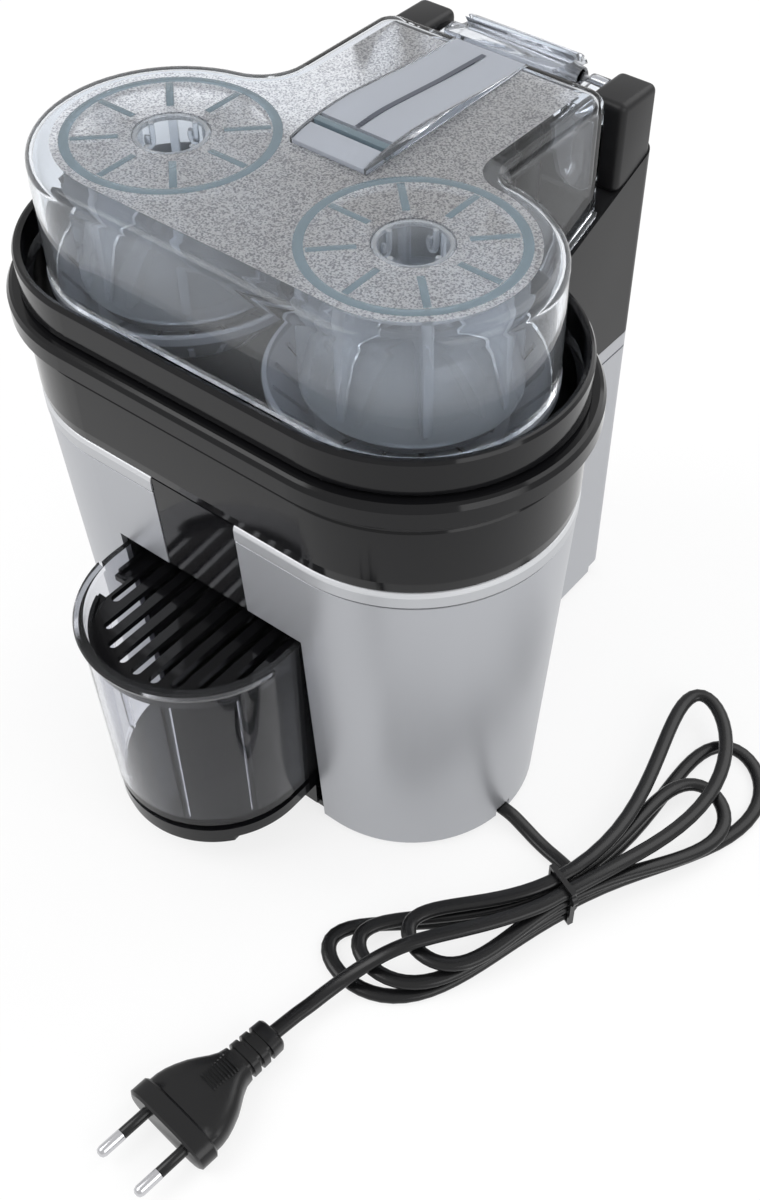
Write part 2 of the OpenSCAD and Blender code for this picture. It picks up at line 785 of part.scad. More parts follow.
function tooth_points(teeth, rp, rb, r_in, r_out, centre) = [
    for (side = [-1, 1], i = [0 : 3])
        let (
            k = side < 0 ? i : 3 - i,
            r = k == 0 ? r_in : max(rb, r_in) + (r_out - max(rb, r_in)) * (k - 1) / 2,
            a = centre + side * tooth_half(r, rp, rb, teeth)
        )
        [r * cos(a), r * sin(a)]
];

// Spur gear outline with a tooth centred on the angle phase
module gear_outline(teeth, phase) {
    rp = gear_module * teeth / 2;
    rb = rp * cos(pressure_angle);
    polygon([
        for (t = [0 : teeth - 1])
            each tooth_points(
                teeth, rp, rb, rp - gear_ded * gear_module, rp + gear_add * gear_module,
                phase + t * 360 / teeth
            )
    ]);
}

function left_phase() =
    let (
        pitch = 360 / pinion_teeth,
        first_gap = atan2(-motor_y, half_gap),
        line = 180 + atan2(motor_y, half_gap),
        ahead = first_gap + round((line - first_gap) / pitch) * pitch - line
    )
    atan2(motor_y, half_gap) - ahead * pinion_teeth / gear_teeth;

module cone_gear(phase) {
    translate([0, 0, gear_z]) difference() {
        union() {
            linear_extrude(gear_w) gear_outline(gear_teeth, phase);
            translate([0, 0, -1]) cylinder(h = gear_w + 2, r = shaft_r + 4);
        }
        translate([0, 0, -2]) cylinder(h = gear_w + 4, r = shaft_r + 0.02);
        translate([0, 0, gear_w - 2.5]) difference() {
            cylinder(h = 5, r = gear_module * gear_teeth / 2 - 6);
            cylinder(h = 5, r = shaft_r + 5);
        }
    }
}

module left_gear() {
    color("#e8e4d8") placed() left_cone() cone_gear(left_phase());
}

module right_gear() {
    color("#e8e4d8") placed() right_cone() cone_gear(atan2(motor_y, -half_gap));
}

module motor_pinion() {
    gap = atan2(-motor_y, half_gap);
    color("#d8d4c4") placed() translate([0, motor_y, 0]) {
        translate([0, 0, gear_z - 1])
            linear_extrude(gear_w + 2) gear_outline(pinion_teeth, gap + 180 / pinion_teeth);
        translate([0, 0, motor_top - 2]) cylinder(h = gear_z + 1 - motor_top, r = 3);
    }
}

module motor_can() {
    low = motor_top - motor_h;
    color("#8a8d92") placed() translate([0, motor_y, 0]) difference() {
        union() {
            translate([0, 0, low]) cylinder(h = motor_h, r = motor_r);
            translate([0, 0, low + 8]) cylinder(h = motor_h - 30, r = motor_r + 1.2);
        }
        translate([0, 0, low - 1]) cylinder(h = motor_h - 2, r = motor_r - 2);
        translate([0, 0, low - 1]) cylinder(h = motor_h + 2, r = 3.4);
    }
}

module motor_end_cap() {
    low = motor_top - motor_h;
    color("#3a3b3e") placed() translate([0, motor_y, 0]) {
        translate([0, 0, low - 3]) cylinder(h = 2.8, r = motor_r);
        translate([0, 0, low - 7]) cylinder(h = 5, r = 8);
        difference() {
            translate([0, 0, low - 0.4]) cylinder(h = 8, r = motor_r - 2.2);
            translate([0, 0, low - 0.2]) cylinder(h = 10, r = motor_r - 4.2);
        }
    }
}

module reamer() {
    h = cone_top - hub_low;
    difference() {
        union() {
            rotate_extrude() polygon([
                [0, hub_low], [cone_r + 4, hub_low], [cone_r + 4, hub_low + 1.6],
                [cone_r * 0.84, hub_low + 2], [cone_r * 0.72, hub_low + h * 0.32],
                [cone_r * 0.5, hub_low + h * 0.66], [cone_r * 0.22, hub_low + h * 0.9], [0, cone_top - 0.6]
            ]);
            for (i = [0 : cone_ribs - 1])
                rotate([90, 0, i * 360 / cone_ribs]) translate([0, 0, -0.9]) linear_extrude(1.8) polygon([
                    [0, hub_low + 1], [cone_r, hub_low + 1], [cone_r * 0.93, hub_low + h * 0.32],
                    [cone_r * 0.68, hub_low + h * 0.66], [cone_r * 0.34, hub_low + h * 0.92],
                    [cone_r * 0.12, cone_top], [0, cone_top]
                ]);
        }
        translate([0, 0, hub_low - 1]) cylinder(h = 3, r = boss_r + 1);
        translate([0, 0, hub_low - 1]) cylinder(h = shaft_top - hub_low + 1.3, r = shaft_r + 0.02);
    }
}

module left_reamer() {
    color("#5c6066") placed() left_cone() reamer();
}

module right_reamer() {
    color("#5c6066") placed() right_cone() reamer();
}

// ---------------------------------------------------------------- lid

// Solid lid form with its rounded upper edge, shrunk by inset all round
module lid_form(inset, low) {
    r = lid_r - inset;
    top = lid_top - inset;
    round_r = lid_round - inset * 0.6;
    hw = neck_hw - inset;
    back = neck_back - inset;
    stadium_sweep() {
        translate([0, low]) square([r, top - round_r - low]);
        translate([0, top - round_r]) square([r - round_r, round_r]);
        translate([r - round_r, top - round_r]) intersection() {
            circle(round_r);
            square(round_r);
        }
    }
    intersection() {
        translate([0, back, 0]) rotate([90, 0, 0]) linear_extrude(back) {
            translate([-hw, low]) square([2 * hw, top - round_r - low]);
            translate([-hw + round_r, top - round_r - 1]) square([2 * (hw - round_r), round_r + 1]);
            for (side = [-1, 1])
                translate([side * (hw - round_r), top - round_r]) circle(round_r);
        }
        translate([0, 0, low - 1]) linear_extrude(top - low + 2) neck_outline(inset);
    }
}

// Flat outline of the neck with its round rear corners
module neck_outline(inset) {
    r = neck_round - inset;
    hw = neck_hw - inset;
    back = neck_back - inset;
    translate([-hw, -1]) square([2 * hw, back - r + 1]);
    translate([-hw + r, back - r - 1]) square([2 * (hw - r), r + 1]);
    for (side = [-1, 1])
        translate([side * (hw - r), back - r]) circle(r);
}

// Cuts the walls: level under the lobes, stepped over the tray's rim, round in
// front so that they swing clear of the rim, and along the tower's sloping top
module lid_trim(lift) {
    far = neck_back + 20;
    side_profile(-2 * lid_r - cone_gap, 2 * lid_r + cone_gap) {
        translate([-2 * lid_r, 0]) square([2 * lid_r + lid_step_y, lid_low]);
        difference() {
            translate([lid_step_y - 1, 0]) square([hinge_y - lid_step_y + 1, rim_top + 1.4]);
            translate([hinge_y, hinge_z]) circle(lid_sweep_r, $fn = 96);
        }
        polygon([
            [lid_step_y, 0], [lid_step_y, slope_at(lid_step_y) + lift],
            [far, slope_at(far) + lift], [far, 0]
        ]);
    }
}

module lid_shell() {
    difference() {
        lid_form(0, slope_z - 20);
        lid_form(lid_t, slope_z - 30);
        lid_trim(0.4);
    }
}

// Lip along the lower edge of the neck's side walls
module neck_lip() {
    y0 = flange_r + 0.8;
    y1 = neck_back - neck_round;
    for (side = [0, 1])
        mirror([side, 0, 0]) side_profile(neck_hw - lid_t, neck_hw + 2) intersection() {
            polygon([
                [y0, slope_at(y0) + 0.4], [y1, slope_at(y1) + 0.4],
                [y1, slope_at(y1) + 2.4], [y0, slope_at(y0) + 2.4]
            ]);
            translate([hinge_y, hinge_z]) circle(lid_sweep_r, $fn = 96);
        }
}

// Clear gusset plate inside each side wall of the neck
module neck_gussets() {
    for (side = [0, 1])
        mirror([side, 0, 0]) side_profile(neck_hw - lid_t - 5, neck_hw - lid_t - 3.2) polygon([
            [neck_back - 23, lid_under + 1], [neck_back - 21, lid_under - 17],
            [neck_back - 15, lid_under - 25], [neck_back - 6, lid_under - 31],
            [neck_back - 6, lid_under + 1]
        ]);
}

module pressing_strip() {
    hw = grip_w / 2;
    y0 = 19;
    y1 = 30;
    difference() {
        side_profile(-hw, hw) polygon([
            [y0, lid_top - 1], [y0, lid_top + 0.1], [y1, lid_top + grip_h],
            [neck_back - 6, lid_top + grip_h], [neck_back - 1, lid_top + 0.4],
            [neck_back - 1, lid_top - 1]
        ]);
        side_profile(-hw + 3, hw - 3) polygon([
            [y1 + 2, lid_top - 2], [y1 + 2, lid_top + grip_h - 1.4],
            [neck_back - 8, lid_top + grip_h - 1.4], [neck_back - 8, lid_top - 2]
        ]);
    }
    block(-1, 1, y1 + 2, neck_back - 8, lid_under - 1, lid_top + grip_h - 1);
    block(-hw + 2, hw - 2, y1 + 2, y1 + 4, lid_under - 1, lid_top + grip_h - 1);
    block(-hw + 2, hw - 2, neck_back - 12, neck_back - 10, lid_under - 1, lid_top + grip_h - 1);
}

// Tongue that runs back from the neck to the middle barrel
module hinge_tongue(hw) {
    side_profile(-hw, hw) polygon([
        [neck_back - 1, lid_top - 0.4], [hinge_y, hinge_z + barrel_r],
        [hinge_y, hinge_z + barrel_r - 2.6], [neck_back - 1, lid_top - 4]
    ]);
    translate([-hw, hinge_y, hinge_z]) rotate([0, 90, 0]) cylinder(h = 2 * hw, r = barrel_r);
}

module hinge_knuckle(x0, x1) {
    side_profile(x0, x1) polygon([
        [neck_back - 1, hinge_z + 1], [hinge_y, hinge_z + barrel_r - 0.6],
        [hinge_y, hinge_z - barrel_r + 2], [neck_back - 1, hinge_z - 7]
    ]);
    translate([x0, hinge_y, hinge_z]) rotate([0, 90, 0]) cylinder(h = x1 - x0, r = barrel_r - 0.5);
}

module lid() {
    color("#c9d2dc", 0.45) placed() difference() {
        union() {
            lid_shell();
            neck_lip();
            neck_gussets();
            pressing_strip();
            hinge_tongue(barrel_hw);
            hinge_knuckle(barrel_hw + 4.5, post_in - 1.2);
            mirror([1, 0, 0]) hinge_knuckle(barrel_hw + 4.5, post_in - 1.2);
        }
        for (x = [-half_gap, half_gap])
            translate([x, 0, lid_under - 2]) cylinder(h = 12, r = press_hole_r);
        translate([-50, hinge_y, hinge_z]) rotate([0, 90, 0]) cylinder(h = 100, r = rod_r + run_clear);
    }
}

// Outer contour of a press cup as [radius, height], grown by g
function dome_outer(g) = [
    [press_r + g, press_low], [press_r + g, press_low + 2 + g],
    [press_r - 1.6 + g, press_low + 5.5 + g], [press_r - 3.4 + g, press_low + 13 + g],
    [press_r - 5.5 + g, press_low + 20.5 + g], [press_r - 8 + g, press_low + 23 + g],
    [press_tube_r + 8 + g, press_low + 25 + g], [press_tube_r + g, press_low + 27 + g]
];

module press_cup() {
    difference() {
        rotate_extrude() polygon(concat(dome_outer(0), [
            [press_tube_r, lid_top], [press_tube_r - 1.5, lid_top],
            [press_tube_r - 1.5, press_low + 25], [press_tube_r + 8, press_low + 23.2],
            [press_r - 9, press_low + 21.2], [press_r - 7.2, press_low + 19.4],
            [press_r - 5.2, press_low + 12.6], [press_r - 3.4, press_low + 5],
            [press_r - 1.8, press_low]
        ]));
        for (a = [45, 225])
            rotate([0, 0, a]) translate([press_tube_r - 4, -1.5, lid_top - 5]) cube([8, 3, 8]);
    }
}

// Ring and fins between a press cup and the lid
module press_fin_set() {
    high = lid_under - 0.1;
    difference() {
        union() {
            translate([0, 0, high - 4]) difference() {
                cylinder(h = 4, r = press_r);
                translate([0, 0, -1]) cylinder(h = 6, r = press_r - 3);
            }
            for (i = [0 : press_fins - 1])
                rotate([0, 0, (i + 0.5) * 360 / press_fins])
                    translate([fin_in, -fin_t / 2, press_low + 2.6])
                        cube([press_r - fin_in - 0.4, fin_t, high - press_low - 2.6]);
        }
        rotate_extrude() polygon(concat(
            dome_outer(0.15), [[press_tube_r + 0.15, lid_top + 5], [0, lid_top + 5], [0, press_low - 1],
            [press_r + 0.15, press_low - 1]]
        ));
    }
}

module left_press_cup() {
    color("#b9c8d2", 0.5) placed() left_cone() press_cup();
}

module right_press_cup() {
    color("#b9c8d2", 0.5) placed() right_cone() press_cup();
}

module left_press_fins() {
    color("#b9c8d2", 0.5) placed() left_cone() press_fin_set();
}

module right_press_fins() {
    color("#b9c8d2", 0.5) placed() right_cone() press_fin_set();
}

// ---------------------------------------------------------------- start switch

module start_plunger() {
    color("#1a1a1c") placed() translate([plunger_x, plunger_y, 0]) {
        translate([0, 0, plunger_collar_z]) cylinder(h = plunger_top - plunger_collar_z - 1, r = plunger_r);
        translate([0, 0, plunger_top - 1.4]) cylinder(h = 1.4, r = plunger_r - 0.5);
        translate([0, 0, plunger_collar_z]) cylinder(h = 2, r = plunger_r + 3);
    }
}

module plunger_spring() {
    low = plunger_collar_z - plunger_travel - 5;
    color("#b5b8bd") placed() translate([plunger_x, plunger_y, low])
        difference() {
            cylinder(h = plunger_collar_z - low - 0.2, r = plunger_r);
            translate([0, 0, -1]) cylinder(h = 20, r = plunger_r - 1);
        }
}

module micro_switch() {
    top = plunger_collar_z - plunger_travel - 5.2;
    color("#26282d") placed() difference() {
        union() {
            block(plunger_x - 10, plunger_x + 10, plunger_y - 6, plunger_y + 6, top - 12, top);
            block(plunger_x + 9.9, tower_hw - wall - 0.1, plunger_y - 6, plunger_y + 6, top - 12, top - 9);
        }
        for (x = [-5, 5])
            translate([plunger_x + x, plunger_y - 7, top - 6]) rotate([-90, 0, 0]) cylinder(h = 14, r = 1.3);
    }
}

// ---------------------------------------------------------------- juice cup

// Half section of the cup wall from floor to rim, as [half width, height]
module cup_section(inset, low) {
    polygon([
        [0, low], [cup_r_at(low) - inset - 1.5, low], [cup_r_at(low + 1.5) - inset, low + 1.5],
        [cup_r_at(cup_rim) - inset, cup_rim + (inset > 0 ? 1 : 0)], [0, cup_rim + (inset > 0 ? 1 : 0)]
    ]);
}

module cup_form(inset, low) {
    back = bay_back - 1 - inset;
    translate([0, -cup_y, 0]) rotate([0, 0, 180]) rotate_extrude(angle = 180) cup_section(inset, low);
    for (side = [0, 1])
        mirror([side, 0, 0]) translate([0, back, 0]) rotate([90, 0, 0])
            linear_extrude(back + cup_y) cup_section(inset, low);
}

module cup_lip_section() {
    polygon([
        [cup_r - 0.6, cup_rim - 4], [cup_r + cup_lip - 0.5, cup_rim - 2.6],
        [cup_r + cup_lip, cup_rim - 1.2], [cup_r + cup_lip - 0.5, cup_rim - 0.2], [cup_r - 0.6, cup_rim]
    ]);
}

// Upright rib inside the cup's wall, which carries the grate
module cup_rib(top) {
    polygon([
        [cup_r_at(cup_floor + 1) - cup_t + 0.4, cup_floor + 1], [cup_foot_r - 4, cup_floor + 1],
        [cup_foot_r - 4, top], [cup_r_at(top) - cup_t + 0.4, top]
    ]);
}

module juice_cup() {
    rib_top = grate_z - 0.2;
    color("#aeb6c0", 0.5) placed() {
        difference() {
            union() {
                cup_form(0, cup_floor);
                translate([0, -cup_y, 0]) rotate([0, 0, 188]) rotate_extrude(angle = 164) cup_lip_section();
            }
            cup_form(cup_t, cup_floor + cup_t);
        }
        for (a = [205, 245, 295, 335])
            translate([0, -cup_y, 0]) rotate([90, 0, a]) translate([0, 0, -0.8])
                linear_extrude(1.6) cup_rib(rib_top);
        for (side = [0, 1])
            mirror([side, 0, 0]) translate([0, -20, 0]) rotate([90, 0, 0]) linear_extrude(1.6) cup_rib(rib_top);
    }
}

module grate_outline(inset) {
    r = cup_r_at(grate_z) - cup_t - fit_gap - inset;
    back = bay_back - 1 - cup_t - fit_gap - inset;
    intersection() {
        translate([0, -cup_y]) circle(r, $fn = 64);
        translate([-50, -cup_y - 60]) square([100, 60]);
    }
    translate([-r, -cup_y]) square([2 * r, back + cup_y]);
}

module slot(x, y0, y1) {
    translate([x, y0 + slot_w / 2]) circle(slot_w / 2, $fn = 16);
    translate([x, y1 - slot_w / 2]) circle(slot_w / 2, $fn = 16);
    translate([x - slot_w / 2, y0 + slot_w / 2]) square([slot_w, y1 - y0 - slot_w]);
}

module drip_grate() {
    r = cup_r_at(grate_z) - cup_t - 6;
    bar = -36;
    color("#0f0f11") placed() translate([0, 0, grate_z]) {
        linear_extrude(grate_t) difference() {
            grate_outline(0);
            for (i = [-4 : 4])
                let (x = i * slot_pitch)
                slot(x, -cup_y - sqrt(max(1, r * r - x * x)), bar - 3);
            for (i = [-4 : 4])
                slot(i * slot_pitch, bar + 3, bay_back - 8);
            translate([-r - 5.6, -cup_y - 12]) square([5, 9]);
        }
        translate([0, 0, grate_t - 0.1]) linear_extrude(1.4) difference() {
            grate_outline(0);
            grate_outline(1.4);
            translate([-60, -cup_y - 14]) square([40, 13]);
        }
    }
}

// ---------------------------------------------------------------- mains lead

function unit(v) = v / max(norm(v), 0.0001);

// Direction of the route at point i
function heading(pts, i) = unit(pts[min(i + 1, len(pts) - 1)] - pts[max(i - 1, 0)]);

// Ring of the flat section round point i, kept level across the route
function ring(pts, i, section) =
    let (
        d = heading(pts, i),
        across = unit(cross(d, [0, 0, 1])),
        up = cross(across, d)
    )
    [for (s = section) pts[i] + across * s[0] + up * s[1]];

module tube(pts, section) {
    n = len(section);
    m = len(pts);
    rings = [for (i = [0 : m - 1]) each ring(pts, i, section)];
    sides = [
        for (i = [0 : m - 2], j = [0 : n - 1])
            let (a = i * n + j, b = i * n + (j + 1) % n)
            each [[a, a + n, b], [b, a + n, b + n]]
    ];
    caps = [
        for (j = [1 : n - 2])
            each [[0, j, j + 1], [(m - 1) * n, (m - 1) * n + j + 1, (m - 1) * n + j]]
    ];
    polyhedron(points = rings, faces = concat(sides, caps));
}

function flat_section(n) = [
    for (i = [0 : n - 1])
        let (a = 360 * i / n)
        [cord_w / 2 * cos(a), cord_t / 2 * (n == 6 ? sign(round(sin(a) * 100)) : sin(a))]
];

// Height that the strands gain over the tie, fading out along the loops
function tie_lift(u) = tie_t * (1 - ease(abs(u) / 44));

// Point of a loop: u runs along the hank, v across it, both from the tie.
// A loop climbs from layer_a to layer_b on its way back to the tie.
function loop_point(s, way, side, loop, layer_a, layer_b, drop) =
    let (
        u = way * loop[0] * sin(180 * s),
        lean = tan(loop[2] - tie_bearing),
        v = side * (strand_x * cos(180 * s) + loop[1] * sin(360 * s) * sin(180 * s))
            + lean * u * sin(180 * s),
        climb = s > 0.5 ? ease(1 - abs(u) / 60) : 0,
        layer = layer_a + (layer_b - layer_a) * climb - drop * ease((abs(u) - 14) / 60)
    )
    [
        tie_x + u * sin(tie_bearing) + v * cos(tie_bearing),
        tie_y + u * cos(tie_bearing) - v * sin(tie_bearing),
        cord_t / 2 + strand_rise * layer + tie_lift(u)
    ];

hank_points = [
    for (k = [0 : len(lower_loops) - 1])
        each concat(
            [for (i = [0 : hank_steps - 1])
                loop_point(i / hank_steps, -1, 1, lower_loops[k], k, k + 1, 0)],
            [for (i = [0 : hank_steps - 1])
                loop_point(i / hank_steps, 1, -1, upper_loops[k], k + 1, k + 1, 1)]
        ),
    loop_point(1, 1, -1, upper_loops[len(upper_loops) - 1], 3, 3, 1)
];

function path_length(pts) =
    len(pts) < 2 ? 0 : sum_list([for (i = [1 : len(pts) - 1]) norm(pts[i] - pts[i - 1])]);

function sum_list(v) = [for (a = v) 1] * v;

// Clear distance between two strands of the flat lead, from their centre points
function strand_gap(p, q) =
    max(abs(p[2] - q[2]) - cord_t, norm([p[0] - q[0], p[1] - q[1]]) - cord_w);

hank_gap = min([
    for (i = [0 : len(hank_points) - 1], j = [i + 4 : 1 : len(hank_points) - 1])
        strand_gap(hank_points[i], hank_points[j])
]);

lead_route = concat(lead_points, [hank_points[0]]);
tail_route = concat(
    [hank_points[len(hank_points) - 1]],
    tail_points,
    [plug_entry]
);

module cord_lead() {
    color("#161616") placed() tube(lead_route, flat_section(8));
}

module cord_hank() {
    echo(hank_gap = hank_gap, hank_length = path_length(hank_points));
    color("#161616") placed() tube(hank_points, flat_section(6));
}

module cord_tail() {
    color("#161616") placed() tube(tail_route, flat_section(8));
}

module cord_grommet() {
    outlet = lead_points[0];
    color("#121212") placed() {
        translate([0, outlet[1], outlet[2]]) {
            side_profile(outlet[0] - grommet_l, outlet[0] - 6) square([grommet_w - 0.6, 4.8], center = true);
            side_profile(outlet[0] - grommet_l, outlet[0] - grommet_l + 2) square([grommet_w + 3, 4.8], center = true);
            side_profile(outlet[0] - 6.1, outlet[0] - 0.2) square([cord_w + 0.4, cord_t + 0.4], center = true);
        }
    }
}

module hank_tie() {
    w = strand_x * 2 + cord_w + 0.8;
    h = cord_t + 3 * strand_rise + tie_t + 0.6;
    color("#0e0e0e") placed() translate([tie_x, tie_y, 0]) rotate([0, 0, -tie_bearing])
        translate([0, 1, 0]) rotate([90, 0, 0]) linear_extrude(2) difference() {
            union() {
                translate([-w / 2 - 1, 0]) square([w + 2, h + 1.4]);
                translate([w / 2, h - 3]) circle(2.4);
            }
            translate([-w / 2, tie_t - 0.3]) square([w, h - tie_t + 0.3]);
        }
}

module at_plug() {
    translate([plug_x, plug_y, plug_h / 2]) rotate([0, 0, plug_turn]) children();
}

// Half outline of the plug from above, as [half width, distance from the face]
module plug_top_outline() {
    hw = plug_w / 2;
    half = [
        [0, 0], [hw - 1.5, 0], [hw, 1.5], [hw, 6], [hw - 2, 8.4], [hw - 5.4, 12], [hw - 8, 17],
        [hw - 9.2, 22], [hw - 9.4, 26], [hw - 10.6, 29.6], [hw - 12, 31], [0, 31]
    ];
    polygon(half);
    mirror([1, 0]) polygon(half);
}

module plug_side_outline() {
    hh = plug_h / 2;
    polygon([
        [0, -hh + 0.8], [0.8, -hh], [8, -hh], [16, -hh + 1.2], [31, -hh + 1.6],
        [31, hh - 1.6], [16, hh - 1.2], [8, hh], [0.8, hh], [0, hh - 0.8]
    ]);
}

module plug_body() {
    relief = plug_len - 30;
    color("#17171a") placed() at_plug() difference() {
        union() {
            intersection() {
                translate([0, 0, -plug_h]) linear_extrude(2 * plug_h) plug_top_outline();
                side_profile(-plug_w, plug_w) plug_side_outline();
            }
            translate([0, 30, 0]) rotate([-90, 0, 0]) cylinder(h = relief, r1 = 4.9, r2 = 3.4);
            for (i = [0 : 2])
                translate([0, 32.4 + i * 4.2, 0]) rotate([-90, 0, 0])
                    cylinder(h = 2, r1 = 5.6 - i * 0.5, r2 = 5.4 - i * 0.5);
        }
        for (x = [-1, 1])
            translate([x * pin_gap / 2, -1, 0]) rotate([-90, 0, 0]) cylinder(h = 9, r = pin_r);
    }
}

module plug_pins() {
    color("#b9bbc0") placed() at_plug() for (x = [-1, 1])
        translate([x * pin_gap / 2, 7.8, 0]) rotate([90, 0, 0]) {
            cylinder(h = pin_l, r = pin_r - 0.02);
            translate([0, 0, pin_l - 0.1]) cylinder(h = 1, r1 = pin_r - 0.02, r2 = pin_r - 0.7, $fn = 24);
        }
}

base_plate();
rubber_feet();
base_screws();
inner_frame();
cup_bay();
cup_stand();
front_strip();
left_panel();
right_panel();
motor_housing();
tower_shell();
tower_cover();
left_hinge_post();
right_hinge_post();
hinge_rod();
juice_tray();
left_strainer();
right_strainer();
juice_spout();
gear_plate();
shaft_bushes();
left_drive_shaft();
right_drive_shaft();
left_gear();
right_gear();
motor_pinion();
motor_can();
motor_end_cap();
left_reamer();
right_reamer();
lid();
left_press_cup();
right_press_cup();
left_press_fins();
right_press_fins();
start_plunger();
plunger_spring();
micro_switch();
juice_cup();
drip_grate();
cord_grommet();
cord_lead();
cord_hank();
hank_tie();
cord_tail();
plug_body();
plug_pins();
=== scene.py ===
from math import asin, atan2, cos, degrees, pi, radians, sin, tan

import bmesh
import bpy
from mathutils import Matrix, Vector


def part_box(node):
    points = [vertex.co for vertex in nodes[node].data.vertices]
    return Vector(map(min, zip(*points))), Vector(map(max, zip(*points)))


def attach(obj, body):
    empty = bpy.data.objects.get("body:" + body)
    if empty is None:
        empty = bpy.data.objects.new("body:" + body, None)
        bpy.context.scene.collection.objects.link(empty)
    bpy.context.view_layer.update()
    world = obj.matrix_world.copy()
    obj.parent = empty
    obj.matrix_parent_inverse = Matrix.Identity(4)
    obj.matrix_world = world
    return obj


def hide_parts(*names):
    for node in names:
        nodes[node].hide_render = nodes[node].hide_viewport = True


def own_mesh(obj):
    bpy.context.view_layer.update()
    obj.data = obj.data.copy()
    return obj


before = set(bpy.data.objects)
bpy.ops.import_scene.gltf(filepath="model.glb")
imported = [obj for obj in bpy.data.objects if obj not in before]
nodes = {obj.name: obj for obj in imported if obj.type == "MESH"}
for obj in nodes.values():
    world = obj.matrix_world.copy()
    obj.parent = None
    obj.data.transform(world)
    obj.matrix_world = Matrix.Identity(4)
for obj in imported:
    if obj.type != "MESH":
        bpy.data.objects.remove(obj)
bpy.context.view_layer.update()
frameShift = -0.01525      # from the cone axes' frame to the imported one, along Y, in metres
coneX = 45.5               # each cone's distance from the middle, in mm as all piece settings
lidTop = 226.7
sideNames = {-1: "Left", 1: "Right"}      # as seen from the front
print("frame loaded:", len(nodes), "nodes")


cameraSet = {
    "place": (0.2610, -0.29335, 0.4622),
    "target": (0.06564, -0.02834, 0.08683),
    "roll": 0.0202,
    "lens": 44.956,
    "sensor": 36,
    "shift": (-0.0469, 0.0358),
    "clip": (0.01, 20),
}


def makeCamera(values):
    data = bpy.data.cameras.new("camera")
    data.sensor_fit = "AUTO"
    data.sensor_width = data.sensor_height = values["sensor"]
    data.lens = values["lens"]
    data.shift_x, data.shift_y = values["shift"]
    data.clip_start, data.clip_end = values["clip"]
    camera = bpy.data.objects.new("camera", data)
    bpy.context.scene.collection.objects.link(camera)
    place = Vector(values["place"])
    ahead = (Vector(values["target"]) - place).normalized()
    right = ahead.cross(Vector((0, 0, 1))).normalized()
    up = right.cross(ahead)
    roll = values["roll"]
    rightRolled = right * cos(roll) + up * sin(roll)
    upRolled = up * cos(roll) - right * sin(roll)
    turn = Matrix((rightRolled, upRolled, -ahead)).transposed().to_4x4()
    camera.matrix_world = Matrix.Translation(place) @ turn
    bpy.context.scene.camera = camera


makeCamera(cameraSet)
print("camera placed")


def mm(x, y, z):
    # a point of the cone axes' frame in millimetres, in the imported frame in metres
    return Vector((x / 1000, y / 1000 + frameShift, z / 1000))


def linkPiece(name, mesh, body, materials):
    piece = bpy.data.objects.new(name, mesh)
    bpy.context.scene.collection.objects.link(piece)
    for material in materials:
        mesh.materials.append(material)
    for face in mesh.polygons:
        face.use_smooth = True
    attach(piece, body)
    return piece


def toMesh(bm, name):
    mesh = bpy.data.meshes.new(name)
    bm.to_mesh(mesh)
    bm.free()
    return mesh


def finishMesh(bm, name, angle=35):
    bmesh.ops.remove_doubles(bm, verts=bm.verts, dist=1e-6)
    bmesh.ops.recalc_face_normals(bm, faces=bm.faces)
    mesh = toMesh(bm, name)
    mesh.set_sharp_from_angle(angle=radians(angle))
    return mesh


def loopOf(vert):
    # the edges of the loop that a vertex is on
    seen, todo = set(), [vert]
    while todo:
        for edge in todo.pop().link_edges:
            if edge not in seen:
                seen.add(edge)
                todo.extend(edge.verts)
    return list(seen)


def makeRing(bm, sides, place):
    # a loop of edges, with place(x, y) for each corner of the unit circle
    ring = bmesh.ops.create_circle(bm, cap_ends=False, radius=1, segments=sides)["verts"]
    for vert in ring:
        vert.co = place(vert.co.x, vert.co.y)
    return loopOf(ring[0])


def joinRings(bm, rings):
    # one skin through the rings, closed at both ends
    for a, b in zip(rings, rings[1:]):
        bmesh.ops.bridge_loops(bm, edges=a + b)
    bmesh.ops.holes_fill(bm, edges=rings[0] + rings[-1], sides=0)


def directionAt(route, i):
    return (route[min(i + 1, len(route) - 1)] - route[max(i - 1, 0)]).normalized()


def tubeAlong(bm, route, radius, sides=8):
    rings = []
    for i, point in enumerate(route):
        turn = directionAt(route, i).to_track_quat("Z", "Y").to_matrix()
        rings.append(makeRing(bm, sides, lambda x, y: point + turn @ Vector((x, y, 0)) * radius))
    joinRings(bm, rings)


def smoothRoute(points, steps=6):
    # Catmull-Rom through the points
    pts = [Vector(p) for p in points]
    out = []
    for i in range(len(pts) - 1):
        a, b, c, d = pts[max(i - 1, 0)], pts[i], pts[i + 1], pts[min(i + 2, len(pts) - 1)]
        for k in range(steps):
            t = k / steps
            out.append(0.5 * (2 * b + (c - a) * t + (2 * a - 5 * b + 4 * c - d) * t ** 2
                              + (3 * b - a - 3 * c + d) * t ** 3))
    return out + [pts[-1]]


def drawFace(bm, points, way):
    # a flat outline drawn out along way
    face = bmesh.ops.contextual_create(bm, geom=[bm.verts.new(p) for p in points])["faces"][0]
    drawn = bmesh.ops.extrude_face_region(bm, geom=[face])["geom"]
    bmesh.ops.translate(bm, verts=[v for v in drawn if isinstance(v, bmesh.types.BMVert)], vec=way)


def spinOutline(bm, points, centre, axis, steps):
    verts = [bm.verts.new(p) for p in points]
    edges = [bm.edges.new(pair) for pair in zip(verts, verts[1:] + verts[:1])]
    bmesh.ops.spin(bm, geom=verts + edges, cent=centre, axis=axis, angle=2 * pi, steps=steps, use_merge=True)


